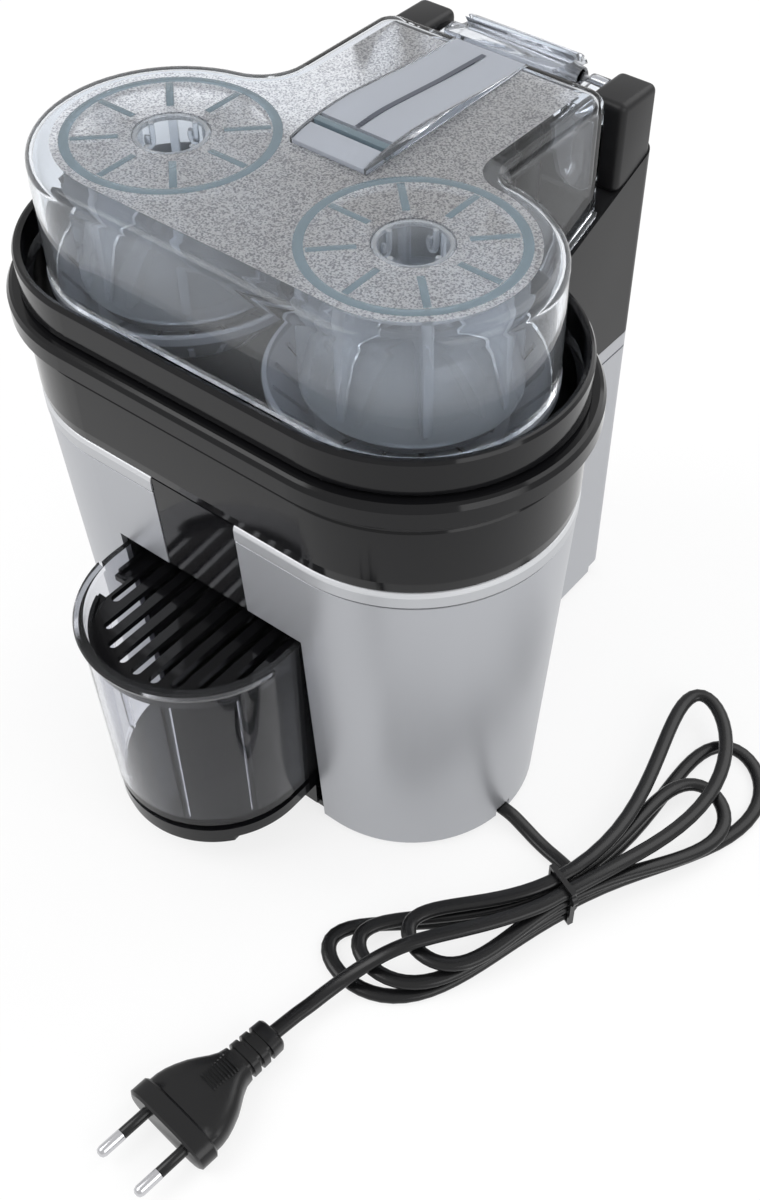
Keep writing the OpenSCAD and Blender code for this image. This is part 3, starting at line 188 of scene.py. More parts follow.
def softenEdges(bm, offset, segments=2, angle=30):
    bmesh.ops.recalc_face_normals(bm, faces=bm.faces)
    sharp = [e for e in bm.edges if len(e.link_faces) == 2 and e.calc_face_angle(0) > radians(angle)]
    bmesh.ops.bevel(bm, geom=sharp, offset=offset / 1000, affect="EDGES", segments=segments, profile=0.5,
                    material=-1, clamp_overlap=True)


def sidePiece(name, body, material, outline, across, bevel=0.4, segments=2, sharp=30, smooth=35):
    # a piece with one side view, drawn between two x values
    bm = bmesh.new()
    drawFace(bm, [mm(across[0], y, z) for y, z in outline], ((across[1] - across[0]) / 1000, 0, 0))
    if bevel:
        softenEdges(bm, bevel, segments, sharp)
    return linkPiece(name, finishMesh(bm, name, smooth), body, [material])


def feed(tree, source, socket):
    # links a socket, or sets a number
    if isinstance(source, bpy.types.NodeSocket):
        tree.links.new(source, socket)
    else:
        socket.default_value = source


def mathNode(tree, operation, a, b, clamp=False):
    node = tree.nodes.new("ShaderNodeMath")
    node.operation = operation
    node.use_clamp = clamp
    feed(tree, a, node.inputs[0])
    feed(tree, b, node.inputs[1])
    return node.outputs[0]


def noiseNode(tree, scale, detail):
    place = tree.nodes.new("ShaderNodeTexCoord")
    noise = tree.nodes.new("ShaderNodeTexNoise")
    noise.inputs["Detail"].default_value = detail
    tree.links.new(place.outputs["Object"], noise.inputs["Vector"])
    feed(tree, scale, noise.inputs["Scale"])
    return noise.outputs["Fac"]


def colourMix(tree, mask, a, b):
    mix = tree.nodes.new("ShaderNodeMix")
    mix.data_type = "RGBA"
    feed(tree, mask, mix.inputs["Factor"])
    feed(tree, a, mix.inputs["A"])
    feed(tree, b, mix.inputs["B"])
    return mix.outputs["Result"]


def newGroup(name, inputs, outputs):
    group = bpy.data.node_groups.new(name, "ShaderNodeTree")
    for label, value in inputs:
        socket = group.interface.new_socket(label, in_out="INPUT", socket_type="NodeSocketFloat")
        socket.default_value = value
    for label in outputs:
        group.interface.new_socket(label, in_out="OUTPUT", socket_type="NodeSocketFloat")
    return group, group.nodes.new("NodeGroupInput").outputs, group.nodes.new("NodeGroupOutput").inputs


def useGroup(tree, shared, **numbers):
    group = tree.nodes.new("ShaderNodeGroup")
    group.node_tree = shared
    for label, value in numbers.items():
        group.inputs[label].default_value = value
    return group.outputs


grainSet = {"fineDetail": 2, "slowScale": 18, "slowDetail": 3}


def grainGroup(values):
    # moulded grain: fine height noise and a slow change of roughness
    group, start, end = newGroup("mouldGrain", [("Scale", 900), ("Roughness", 0.3), ("Spread", 0.05)],
                                 ["Roughness", "Height"])
    slow = noiseNode(group, values["slowScale"], values["slowDetail"])
    change = mathNode(group, "MULTIPLY", mathNode(group, "SUBTRACT", slow, 0.5), start["Spread"])
    feed(group, mathNode(group, "ADD", change, start["Roughness"], clamp=True), end["Roughness"])
    feed(group, noiseNode(group, start["Scale"], values["fineDetail"]), end["Height"])
    return group


def speckleGroup():
    # hard little grains, as a mask
    group, start, end = newGroup("speckle", [("Scale", 1000), ("Low", 0.4), ("High", 0.6)], ["Mask"])
    level = group.nodes.new("ShaderNodeMapRange")
    feed(group, noiseNode(group, start["Scale"], 1), level.inputs["Value"])
    feed(group, start["Low"], level.inputs["From Min"])
    feed(group, start["High"], level.inputs["From Max"])
    feed(group, level.outputs["Result"], end["Mask"])
    return group


def bandGroup():
    # 1 above a height of the piece, 0 below it
    group, start, end = newGroup("heightBand", [("Level", 0.1), ("Soft", 0.001)], ["Mask"])
    place = group.nodes.new("ShaderNodeTexCoord")
    split = group.nodes.new("ShaderNodeSeparateXYZ")
    feed(group, place.outputs["Object"], split.inputs[0])
    above = mathNode(group, "SUBTRACT", split.outputs["Z"], start["Level"])
    feed(group, mathNode(group, "DIVIDE", above, start["Soft"], clamp=True), end["Mask"])
    return group


mouldGrain = grainGroup(grainSet)
speckle = speckleGroup()
heightBand = bandGroup()


def grained(name, colour, scale, roughness, spread, strength, metallic=0.0, distance=0.00004, **more):
    material = bpy.data.materials.new(name)
    material.use_nodes = True
    material.diffuse_color = (*colour, 1)
    tree = material.node_tree
    shader = tree.nodes["Principled BSDF"]
    shader.inputs["Base Color"].default_value = (*colour, 1)
    shader.inputs["Metallic"].default_value = metallic
    shader.inputs["Roughness"].default_value = roughness
    for label, value in more.items():
        shader.inputs[label.replace("_", " ")].default_value = value
    grain = useGroup(tree, mouldGrain, Scale=scale, Roughness=roughness, Spread=spread)
    tree.links.new(grain["Roughness"], shader.inputs["Roughness"])
    bump = tree.nodes.new("ShaderNodeBump")
    bump.inputs["Strength"].default_value = strength
    bump.inputs["Distance"].default_value = distance
    tree.links.new(grain["Height"], bump.inputs["Height"])
    tree.links.new(bump.outputs["Normal"], shader.inputs["Normal"])
    return material


def addSpeckle(material, scale, dark, light, low, high):
    tree = material.node_tree
    mask = useGroup(tree, speckle, Scale=scale, Low=low, High=high)["Mask"]
    tree.links.new(colourMix(tree, mask, (*dark, 1), (*light, 1)),
                   tree.nodes["Principled BSDF"].inputs["Base Color"])


def addBand(material, levels, colours, soft=0.00015):
    # one colour below the first level, the next one above it, and so on
    tree = material.node_tree
    under = (*colours[0], 1)
    for level, colour in zip(levels, colours[1:]):
        mask = useGroup(tree, heightBand, Level=level, Soft=soft)["Mask"]
        under = colourMix(tree, mask, under, (*colour, 1))
    tree.links.new(under, tree.nodes["Principled BSDF"].inputs["Base Color"])


glossBlack = grained("glossBlack", (0.006, 0.006, 0.0068), 260, 0.1, 0.05, 0.05, IOR=1.33)
satinBlack = grained("satinBlack", (0.010, 0.010, 0.0108), 1500, 0.38, 0.1, 0.25, IOR=1.36)
blackRubber = grained("blackRubber", (0.02, 0.02, 0.02), 1200, 0.62, 0.1, 0.3)
cordBlack = grained("cordBlack", (0.007, 0.007, 0.0075), 700, 0.26, 0.12, 0.12, IOR=1.4)
silverPaint = grained("silverPaint", (0.42, 0.43, 0.455), 3800, 0.36, 0.04, 0.12, metallic=0.55)
plainSteel = grained("plainSteel", (0.6, 0.6, 0.62), 500, 0.22, 0.1, 0.06, metallic=1.0)
zincPlate = grained("zincPlate", (0.5, 0.51, 0.53), 300, 0.36, 0.16, 0.1, metallic=1.0)
bronze = grained("bronze", (0.5, 0.34, 0.16), 900, 0.4, 0.15, 0.15, metallic=1.0)
nylon = grained("nylon", (0.7, 0.67, 0.58), 800, 0.45, 0.08, 0.1)
greyPlastic = grained("greyPlastic", (0.10, 0.108, 0.12), 500, 0.3, 0.1, 0.1)

clearLid = grained("clearLid", (0.90, 0.93, 0.97), 300, 0.03, 0.02, 0.02, IOR=1.29, Transmission_Weight=0.955)
clearNeck = grained("clearNeck", (0.88, 0.90, 0.93), 300, 0.03, 0.02, 0.02, IOR=1.25, Transmission_Weight=1.0)
frostedLid = grained("frostedLid", (0.86, 0.88, 0.93), 900, 0.3, 0.1, 0.7, distance=0.0004, IOR=1.45,
                     Transmission_Weight=0.74)
addSpeckle(frostedLid, 1700, (0.3, 0.3, 0.34), (0.97, 0.98, 1.0), 0.36, 0.58)
stripHaze = grained("stripHaze", (0.52, 0.55, 0.61), 300, 0.16, 0.04, 0.03, IOR=1.3, Transmission_Weight=0.45)
# painted shade: a dark, half clear colour for the shaded rib along the strip's middle
stripRibShade = grained("stripRibShade", (0.10, 0.11, 0.14), 300, 0.2, 0.04, 0.03, IOR=1.3, Transmission_Weight=0.3)
pressBand = grained("pressBand", (0.25, 0.33, 0.38), 300, 0.12, 0.05, 0.05, IOR=1.45,
                    Transmission_Weight=0.55)
clearPress = grained("clearPress", (0.86, 0.9, 0.95), 300, 0.05, 0.02, 0.02, IOR=1.3,
                     Transmission_Weight=0.78)
clearCup = grained("clearCup", (0.80, 0.81, 0.85), 300, 0.03, 0.02, 0.02, IOR=1.27, Transmission_Weight=0.99)
smokePlastic = grained("smokePlastic", (0.72, 0.76, 0.83), 300, 0.18, 0.06, 0.05, IOR=1.4,
                       Transmission_Weight=0.5)

# the panels' dark seam line and, above it, painted highlight: a brighter band and a still brighter line along
# the top edge; levels in metres below their top edge
seamAndHighlightSet = {
    "levels": (0.007, 0.0063, 0.0022),
    "colours": ((0.42, 0.43, 0.455), (0.05, 0.05, 0.055), (0.47, 0.48, 0.5), (0.62, 0.63, 0.65)),
}
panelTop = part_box("left_panel")[1][2]
# paints the seam line, and the painted highlight band and top line, into the panels' colour
addBand(silverPaint, [panelTop - level for level in seamAndHighlightSet["levels"]], seamAndHighlightSet["colours"])

finishes = [
    (glossBlack, "cup_bay front_strip motor_housing juice_tray juice_spout drip_grate cup_stand"),
    (satinBlack, "base_plate inner_frame tower_cover left_hinge_post right_hinge_post"
                 " start_plunger motor_end_cap micro_switch"),
    (silverPaint, "left_panel right_panel tower_shell"),
    (clearLid, "lid"),
    (clearPress, "left_press_cup right_press_cup left_press_fins right_press_fins"),
    (clearCup, "juice_cup"),
    (smokePlastic, "left_strainer right_strainer"),
    (greyPlastic, "left_reamer right_reamer"),
    (blackRubber, "rubber_feet"),
    (zincPlate, "base_screws plunger_spring gear_plate motor_can"),
    (plainSteel, "hinge_rod left_drive_shaft right_drive_shaft plug_pins"),
    (bronze, "shaft_bushes"),
    (nylon, "left_gear right_gear motor_pinion"),
    (cordBlack, "cord_grommet cord_lead cord_hank cord_tail plug_body hank_tie"),
]
for material, names in finishes:
    for name in names.split():
        mesh = nodes[name].data
        mesh.materials.clear()
        mesh.materials.append(material)
print("materials on the packed nodes")


# the mains lead; a loop of the hank is its reach, its half width and its bearing
cordSet = {
    "width": 5.4, "thick": 3.4, "sides": 20, "bulge": (0.12, 0.22), "exit": (90, -4.4, 4.6),
    "tie": (131, -25), "bearing": 22, "tieThick": 1.2, "tieReach": 44,
    "rise": 4.3, "strandGap": 0.35, "climbReach": 60, "dropStart": 14, "steps": 40,
    "upper": [(99, 19, 12), (75, 14.6, 16), (99, 16.6, -1)],
    "lower": [(80, 18, 36), (71, 15, 34), (55, 12.4, 31)],
    "lead": [(90, -4.4, 4.6), (96, -4.9, 4.3), (102, -5.8, 3), (108, -7, 2), (114, -8.2, 1.7),
             (120, -9.3, 1.9), (125, -10.7, 2.4), (129.4, -13.4, 2.8), (132.4, -17.4, 2.9),
             (133.8, -21.7, 2.9)],
    "tail": [(132.6, -29, 15.8), (130, -35.6, 15.8), (126, -43, 15.8), (120.6, -51.4, 15.8),
             (114.6, -59.6, 15.7), (108.4, -67.6, 15.5), (103, -75, 15.1), (98.2, -82.4, 13.3),
             (94.2, -89.6, 10.4), (91.2, -96.6, 8), (89, -103.4, 6.4), (87.5, -109.8, 5.8),
             (86.4, -115.6, 6.2)],
    "plug": (80.2, -171, 6.85), "plugTurn": -6, "plugLength": 46,
}


def ease(x):
    c = min(1, max(0, x))
    return c * c * (3 - 2 * c)


def loopPoint(values, s, way, side, loop, low, high, drop):
    # s runs from 0 to 1 along a loop that climbs from one layer to another
    reach, belly, bearing = loop
    u = way * reach * sin(pi * s)
    lean = tan(radians(bearing - values["bearing"]))
    strand = values["width"] / 2 + values["strandGap"]
    v = side * (strand * cos(pi * s) + belly * sin(2 * pi * s) * sin(pi * s)) + lean * u * sin(pi * s)
    climb = ease(1 - abs(u) / values["climbReach"]) if s > 0.5 else 0
    fall = drop * ease((abs(u) - values["dropStart"]) / values["climbReach"])
    lift = values["tieThick"] * (1 - ease(abs(u) / values["tieReach"]))
    turn = radians(values["bearing"])
    return (
        values["tie"][0] + u * sin(turn) + v * cos(turn),
        values["tie"][1] + u * cos(turn) - v * sin(turn),
        values["thick"] / 2 + values["rise"] * (low + (high - low) * climb - fall) + lift,
    )


def hankRoute(values):
    n = values["steps"]
    route = []
    for k, (lower, upper) in enumerate(zip(values["lower"], values["upper"])):
        route += [loopPoint(values, i / n, -1, 1, lower, k, k + 1, 0) for i in range(n)]
        route += [loopPoint(values, i / n, 1, -1, upper, k + 1, k + 1, 1) for i in range(n)]
    layers = len(values["upper"])
    return route + [loopPoint(values, 1, 1, -1, values["upper"][-1], layers, layers, 1)]


def flatTube(name, route, values):
    # a section with flat faces and round edges, bridged along the route
    width, thick = values["width"] / 2000, values["thick"] / 2000
    wideBulge, thickBulge = values["bulge"]
    bm = bmesh.new()
    rings = []
    for i, point in enumerate(route):
        ahead = directionAt(route, i)
        across = ahead.cross(Vector((0, 0, 1))).normalized()
        up = across.cross(ahead)

        def place(x, y):
            wide = x * (1 + wideBulge - wideBulge * abs(x))
            high = y * (1 + thickBulge - thickBulge * abs(y))
            return point + across * (wide * width) + up * (high * thick)

        rings.append(makeRing(bm, values["sides"], place))
    joinRings(bm, rings)
    bmesh.ops.recalc_face_normals(bm, faces=bm.faces)
    return toMesh(bm, name)


# a section of the plug is its distance from the face, half width, half height and squareness
plugSet = {
    "sections": [(0, 16.4, 5.9, 0.7), (0.7, 17.5, 6.8, 0.7), (6.4, 17.5, 6.8, 0.7), (7.1, 16.8, 6.3, 0.7),
                 (7.3, 15.9, 5.9, 0.55), (10, 15.8, 5.9, 0.55), (13, 15.2, 5.9, 0.55), (16, 14.1, 5.9, 0.55),
                 (19.6, 12.4, 5.8, 0.55), (22.5, 10.5, 5.7, 0.55), (25.5, 8.4, 5.5, 0.58),
                 (28.3, 6.9, 5.3, 0.6), (31, 6.4, 5.1, 0.6), (31.2, 5.2, 4.2, 0.6), (32.4, 5.2, 4.2, 0.6),
                 (32.6, 6.4, 5, 0.6), (35.2, 6.3, 4.9, 0.6), (35.4, 5.1, 4.1, 0.6), (36.6, 5.1, 4.1, 0.6),
                 (36.8, 6.3, 4.8, 0.6), (39.4, 6.2, 4.7, 0.6), (39.6, 5, 3.9, 0.6), (40.8, 5, 3.9, 0.6),
                 (41, 6.2, 4.6, 0.6), (45, 6, 4.4, 0.6), (45.8, 5.4, 3.8, 0.6), (46, 4.6, 3.2, 0.6)],
    "sides": 40,
    "ridges": (18.5, 28, 9),      # from, to and how many
    "ridge": [(-0.34, 5.2), (-0.24, 6.7), (0.24, 6.6), (0.34, 5.2)], "ridgeHalf": 4.1, "ridgeSquare": 0.3,
    "sleeve": [(1, 1.9), (-9.8, 1.9), (-9.95, 1.75)],
    "pin": [(-9.5, 1.6), (-9.9, 1.7), (-10, 2), (-17.4, 2), (-18.5, 1.6), (-19, 0.8)],
    "pitch": 18, "pinSides": 24,
}


def plugRing(bm, route, u, middle, halfWidth, halfHeight, power, sides):
    # a rounded section across the plug, u behind its face
    turn = radians(route["plugTurn"])
    faceX, faceY, height = route["plug"]

    def place(x, y):
        w = middle + halfWidth * (abs(x) ** power) * (1 if x > 0 else -1)
        z = halfHeight * (abs(y) ** power) * (1 if y > 0 else -1)
        return mm(faceX - u * sin(turn) + w * cos(turn), faceY + u * cos(turn) + w * sin(turn), height + z)

    return makeRing(bm, sides, place)


def makePlug(values, route):
    bm = bmesh.new()
    joinRings(bm, [plugRing(bm, route, u, 0, w, z, power, values["sides"])
                   for u, w, z, power in values["sections"]])
    start, end, count = values["ridges"]
    for i in range(count):
        middle = start + (end - start) * i / (count - 1)
        joinRings(bm, [plugRing(bm, route, middle + u, 0, values["ridgeHalf"], z, values["ridgeSquare"], 16)
                       for u, z in values["ridge"]])
    pieces = [linkPiece("plugShell", finishMesh(bm, "plugShell"), "machine", [cordBlack])]
    for name, key, material in (("plugSleeves", "sleeve", cordBlack), ("plugPins", "pin", plainSteel)):
        bm = bmesh.new()
        for side in (-1, 1):
            joinRings(bm, [plugRing(bm, route, u, side * values["pitch"] / 2, r, r, 1, values["pinSides"])
                           for u, r in values[key]])
        pieces.append(linkPiece(name, finishMesh(bm, name, 50), "machine", [material]))
    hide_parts("plug_body")
    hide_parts("plug_pins")
    return pieces


def makeCord(values):
    turn = radians(values["plugTurn"])
    x, y, z = values["plug"]
    entry = (x - values["plugLength"] * sin(turn), y + values["plugLength"] * cos(turn), z)
    hank = hankRoute(values)
    lead = smoothRoute(values["lead"] + hank[:1])[:-1]
    tail = smoothRoute(hank[-1:] + values["tail"] + [entry])[1:]
    route = [mm(*p) for p in [*lead, *hank, *tail]]
    cord = linkPiece("mainsLead", flatTube("mainsLead", route, values), "machine", [cordBlack])
    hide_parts("cord_lead", "cord_hank", "cord_tail")
    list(makePlug(plugSet, values))


makeCord(cordSet)


postSet = {"x": (33, 47.6), "y": (105, 125.5), "z": (190, 221.1), "round": 2.6, "roundSteps": 5}


def makePost(values, side):
    label = sideNames[side]
    (y0, y1), (z0, z1) = values["y"], values["z"]
    post = sidePiece("hingePost" + label, "machine", satinBlack, [(y0, z0), (y1, z0), (y1, z1), (y0, z1)],
                     [side * x for x in values["x"]], values["round"], values["roundSteps"], smooth=50)
    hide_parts(label.lower() + "_hinge_post")


for side in sideNames:
    makePost(postSet, side)
print("hinge posts made")


lidSet = {
    "lobe": 43.5, "neck": 45, "back": 103, "corner": 8, "leftFillet": 14, "rightFillet": 4,
    "down": 168, "low": 186, "round": 4.5, "thick": 2.4, "border": 7.8, "hole": 12,
    "lobeSteps": 28, "cornerSteps": 8, "roundSteps": 6, "holeSteps": 64,
    "bend": 0.3, "rise": 0.03,      # the rings beside the rounding; level loops don't bridge
    "step": 47.4, "stepHeight": 195.4,
    "slope": (57.4, 171.6, 0.39),      # the neck's lower edge: y, z and rise
    "hinge": (121, 215.3), "sweep": 70, "sweepCuts": (8, 3.2),      # room for the swing past the tray
    "neckStart": 62,      # the clearer walls begin here
    "strip": [(17.4, 228.4), (22, 229.5), (29, 230.4), (37, 230.8), (45, 230.7), (55, 229.9), (66, 228.9),
              (78, 227.9), (90, 227.2), (99, 226.95)],
    "stripRun": (17.4, 27, 31, 99),      # front end, both sides of the cross bar, rear end
    "stripHalf": 14.5, "stripDeep": 9, "stripGap": 0.04, "stripRib": (31, 96), "ribHalf": 0.9, "rail": 0.9,
    "tongue": 21.5, "tongueTurn": 11, "tongueDrop": 0.2, "overlap": 0.6, "barrel": 3.8, "bore": 1.9,
    "knuckle": (25, 31.8),
    "gusset": [(3.5, 0.4), (26, 0.4), (25, 9), (22, 17), (16, 24), (8, 30), (3.5, 31.5)],
    "gussetIn": (4.9, 3.1), "lipStart": 66, "lipEnd": 7, "lipHigh": 2, "lipOut": (0.08, 1.98),
}


def arcStrip(bm, height, arcs):
    # joins arcs into one closed loop of edges; an arc is centre, radius, first and last angle, steps
    made = []
    for (x, y), radius, start, end, steps in arcs:
        centre = mm(x, y, height)
        vert = bm.verts.new(centre + Vector((cos(radians(start)), sin(radians(start)), 0)) * radius / 1000)
        spun = bmesh.ops.spin(bm, geom=[vert], cent=centre, axis=(0, 0, 1), angle=radians(end - start),
                              steps=steps)
        made.append((vert, spun["geom_last"][0]))
    for (_, last), (first, _) in zip(made, made[1:] + made[:1]):
        bm.edges.new((last, first))
    return made[0][0]


def lidLoop(bm, values, inset, height):
    back, lobe, neck = values["back"] - inset, values["lobe"] - inset, values["neck"] - inset
    corner = max(0.3, values["corner"] - inset)
    steps = values["cornerSteps"]
    arcs = []
    for side, fillet in ((1, values["rightFillet"] + inset), (-1, values["leftFillet"] + inset)):
        x = neck + fillet - coneX
        y = ((lobe + fillet) ** 2 - x ** 2) ** 0.5
        lean = degrees(atan2(y, x))
        half = [((side * coneX, 0), lobe, -90, lean, values["lobeSteps"]),
                ((side * (neck + fillet), y), fillet, 180 + lean, 180, steps),
                ((side * (neck - corner), back - corner), corner, 0, 90, steps)]
        if side < 0:
            half = [(centre, r, 180 - b, 180 - a, n) for centre, r, a, b, n in reversed(half)]
        arcs += half
    return loopOf(arcStrip(bm, height, arcs))


def bisectPart(bm, place, normal, keep, clear=True):
    # cuts the faces that keep() names, and clears what lies on the normal's side of them
    faces = [f for f in bm.faces if keep(f.calc_center_median())]
    geom = faces + list({e for f in faces for e in f.edges}) + list({v for f in faces for v in f.verts})
    bmesh.ops.bisect_plane(bm, geom=geom, dist=1e-7, plane_co=place, plane_no=normal, clear_outer=False)
    if clear:
        gone = [f for f in bm.faces if keep(f.calc_center_median())
                and (f.calc_center_median() - place).dot(normal) > 1e-6]
        bmesh.ops.delete(bm, geom=gone, context="FACES")


def trimLid(bm, values):
    stepY, stepZ = mm(0, values["step"], values["stepHeight"]).yz
    y0, z0, rise = values["slope"]
    (hingeY, hingeZ), reach, (cuts, turn) = values["hinge"], values["sweep"], values["sweepCuts"]
    bisectPart(bm, mm(0, values["step"], 0), Vector((0, 1, 0)), lambda c: True, clear=False)
    bisectPart(bm, mm(0, 0, values["low"]), Vector((0, 0, -1)), lambda c: c.y < stepY)
    bisectPart(bm, mm(0, y0, z0), Vector((0, rise, -1)).normalized(), lambda c: c.y > stepY)
    bisectPart(bm, mm(0, 0, values["stepHeight"]), Vector((0, 0, -1)), lambda c: c.y > stepY, clear=False)
    first = degrees(asin((hingeZ - values["stepHeight"]) / reach))
    for i in range(cuts):
        lean = radians(first + i * turn)
        outward = Vector((0, -cos(lean), -sin(lean)))
        place = mm(0, hingeY, hingeZ) + outward * reach / 1000
        bisectPart(bm, place, outward, lambda c: c.y > stepY and c.z < stepZ)


def lidSkin(bm, values, sink):
    # the outer skin, or with a sink the inner one; returns the edges of its two holes
    top, edge, steps = lidTop - sink, values["round"] - sink, values["roundSteps"]
    shoulder, rise = lidTop - values["round"], values["rise"]
    rings = [(sink, values["down"]), (sink, shoulder - values["bend"])]
    for i in range(steps + 1):
        turn = pi / 2 * i / steps
        rings.append((values["round"] - edge * cos(turn), shoulder + edge * sin(turn) - 2 * rise))
    rings += [(values["round"] + values["bend"], top - rise), (values["border"], top)]
    loops = [lidLoop(bm, values, inset, height) for inset, height in rings]
    for below, above in zip(loops, loops[1:]):
        bmesh.ops.bridge_loops(bm, edges=below + above)
    holes = []
    for side in sideNames:
        verts = bmesh.ops.create_circle(bm, cap_ends=False, radius=values["hole"] / 1000,
                                        segments=values["holeSteps"],
                                        matrix=Matrix.Translation(mm(side * coneX, 0, top)))["verts"]
        holes.append(loopOf(verts[0]))
    bmesh.ops.scale(bm, vec=(1000, 1000, 1000), verts=bm.verts)      # the fill wants long edges
    plate = bmesh.ops.triangle_fill(bm, use_beauty=True, use_dissolve=False, normal=(0, 0, 1),
                                    edges=loops[-1] + holes[0] + holes[1])
    bmesh.ops.scale(bm, vec=(0.001, 0.001, 0.001), verts=bm.verts)
    if not sink:
        for item in plate["geom"]:
            if isinstance(item, bmesh.types.BMFace):
                item.material_index = 1
    return holes


def makeLidShell(values):
    bm = bmesh.new()
    outerHoles = lidSkin(bm, values, 0)
    innerHoles = lidSkin(bm, values, values["thick"])
    for above, below in zip(outerHoles, innerHoles):
        bmesh.ops.bridge_loops(bm, edges=above + below)
    trimLid(bm, values)
    bmesh.ops.remove_doubles(bm, verts=bm.verts, dist=2e-6)
    bmesh.ops.bridge_loops(bm, edges=[e for e in bm.edges if e.is_boundary])
    mesh = finishMesh(bm, "lidShell", 30)
    neckStart = mm(0, values["neckStart"], 0).y
    for face in mesh.polygons:
        if face.material_index == 0 and face.center.y > neckStart:
            face.material_index = 2
    shell = linkPiece("lidShell", mesh, "lid_body", [clearLid, frostedLid, clearNeck])
    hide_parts("lid")


def stripBody(name, values, run, heights, across, material, bevel=0.2):
    # a bar along the strip's crown, between two heights from the crown
    line = [(p.y, p.z) for p in smoothRoute([(0, y, z) for y, z in values["strip"]])]
    crown = [(y, z) for y, z in line if run[0] <= y <= run[1]]
    low, high = heights
    over = [(y, z + high) for y, z in crown]
    under = [(y, max(lidTop + values["stripGap"], z + low)) for y, z in reversed(crown)]
    sidePiece(name, "lid_body", material, over + under, across, bevel)


def makeStrip(values):
    start, barStart, barEnd, end = values["stripRun"]
    half, deep, rib = values["stripHalf"], values["stripDeep"], values["ribHalf"]
    inner = half - values["rail"]
    stripBody("lidStrip", values, (barEnd, end), (-deep, 0), (-inner, inner), stripHaze, 0)
    stripBody("lidStripFront", values, (start, barStart), (-deep, -0.2), (-inner, inner), stripHaze)
    # painted shade: the cross bar takes the darker press band colour for the shaded end wall of the strip's
    # channel
    stripBody("lidStripBar", values, (barStart, barEnd), (-deep, 0.1), (-inner, inner), pressBand)
    # painted shade: a thin dark bar on the strip's crown stands in for the shade of its middle rib
    stripBody("lidStripRib", values, values["stripRib"], (-0.3, 0.25), (-rib, rib), stripRibShade, 0)
    for side, label in sideNames.items():
        across = sorted((side * half, side * (inner + 0.02)))
        stripBody("lidRail" + label, values, (start, end), (-deep, 0.12), across, clearLid)


def makeTongue(values):
    # the lid's top runs on to the middle barrel and turns down behind it, with a knuckle at each side
    y, z = values["hinge"]
    barrel, half, turn, wall = values["barrel"], values["tongue"], values["tongueTurn"], values["thick"]
    top, back = lidTop - values["tongueDrop"], values["back"] - values["overlap"]
    middle = y + barrel - turn
    bend = [pi / 2 * i / 8 for i in range(9)]
    outer = [(middle + turn * sin(a), top - turn + turn * cos(a)) for a in bend]
    inner = [(middle + (turn - wall) * sin(a), top - turn + (turn - wall) * cos(a)) for a in reversed(bend)]
    foot = [(y + barrel, z - 2), (y + barrel - wall, z - 2)]
    sidePiece("lidTongue", "lid_body", clearLid, [(back, top)] + outer + foot + inner + [(back, top - wall)],
              (-half, half), sharp=50)
    bm = bmesh.new()
    section = [(-half, values["bore"]), (half, values["bore"]), (half, barrel - 0.1), (-half, barrel - 0.1)]
    spinOutline(bm, [mm(x, y, z + r) for x, r in section], mm(0, y, z), (1, 0, 0), 32)
    linkPiece("lidBarrel", finishMesh(bm, "lidBarrel"), "lid_body", [clearLid])
    for side, label in sideNames.items():
        arc = [(y + (barrel - 0.5) * sin(a), z + (barrel - 0.5) * cos(a))
               for a in (pi * i / 8 for i in range(9))]
        sidePiece("lidKnuckle" + label, "lid_body", clearLid,
                  [(back, z + 2), (y - 2, z + barrel - 0.6)] + arc + [(back, z - 7)],
                  [side * x for x in values["knuckle"]], sharp=50)


def makeNeckParts(values):
    # clear gusset plates inside the neck, and the lip along its lower edge
    y0, z0, rise = values["slope"]
    back, under, neck = values["back"], lidTop - values["thick"], values["neck"]
    start, end, high = values["lipStart"], back - values["lipEnd"], values["lipHigh"]
    lip = [(start, 0), (end, 0), (end, high), (start - 0.6, high)]
    for side, label in sideNames.items():
        sidePiece("lidGusset" + label, "lid_body", clearLid,
                  [(back - y, under - z) for y, z in values["gusset"]],
                  [side * (neck - values["thick"] - x) for x in values["gussetIn"]])
        sidePiece("lidLip" + label, "lid_body", clearLid,
                  [(y, z0 + rise * (y - y0) + up) for y, up in lip],
                  [side * (neck + x) for x in values["lipOut"]], 0.5)


makeLidShell(lidSet)
makeStrip(lidSet)
makeTongue(lidSet)
makeNeckParts(lidSet)
print("lid made")


# profile points from the rim's radius and from the tube's, with their height over the cup's lower edge
pressSet = {
    "low": 182.5, "radius": 33.3, "tube": 11.7, "tubeWall": 1.5, "steps": 96,
    "domeOuter": [(0, 0), (0, 2), (-1.6, 5.5), (-3.4, 13), (-5.5, 20.5), (-8, 23)],
    "crownOuter": [(8, 25), (0, 27)],
    "crownInner": [(-1.5, 25), (8, 23.2)],
    "domeInner": [(-9, 21.2), (-7.2, 19.4), (-5.2, 12.6), (-3.4, 5), (-1.8, 0)],
    "ring": (29.9, 33.3, 4),      # inside, outside and depth
    "proud": 0.04,      # the ring and the fins show through the plate
    "band": 0.7, "bevel": 0.3,
    "fins": 8, "finThick": 2.7, "finIn": 15.4, "finGap": 0.15,
    "hooks": (4, 94, 184, 274), "hookRadius": 9.3, "hookWire": 0.9,
    "hookBend": [(-9, 0), (-9, -5), (-7, -6.6), (-1, -7.2), (4, -6.4), (6, -4.6), (4, -3.2)],
}


def revolve(bm, profile, axis, steps):
    spinOutline(bm, [axis + Vector((x, 0, z)) / 1000 for x, z in profile], axis, (0, 0, 1), steps)


def bandOnTop(mesh, height):
    # the second material on the faces that lie at the top of a piece
    for face in mesh.polygons:
        if all(mesh.vertices[i].co.z > height for i in face.vertices):
            face.material_index = 1


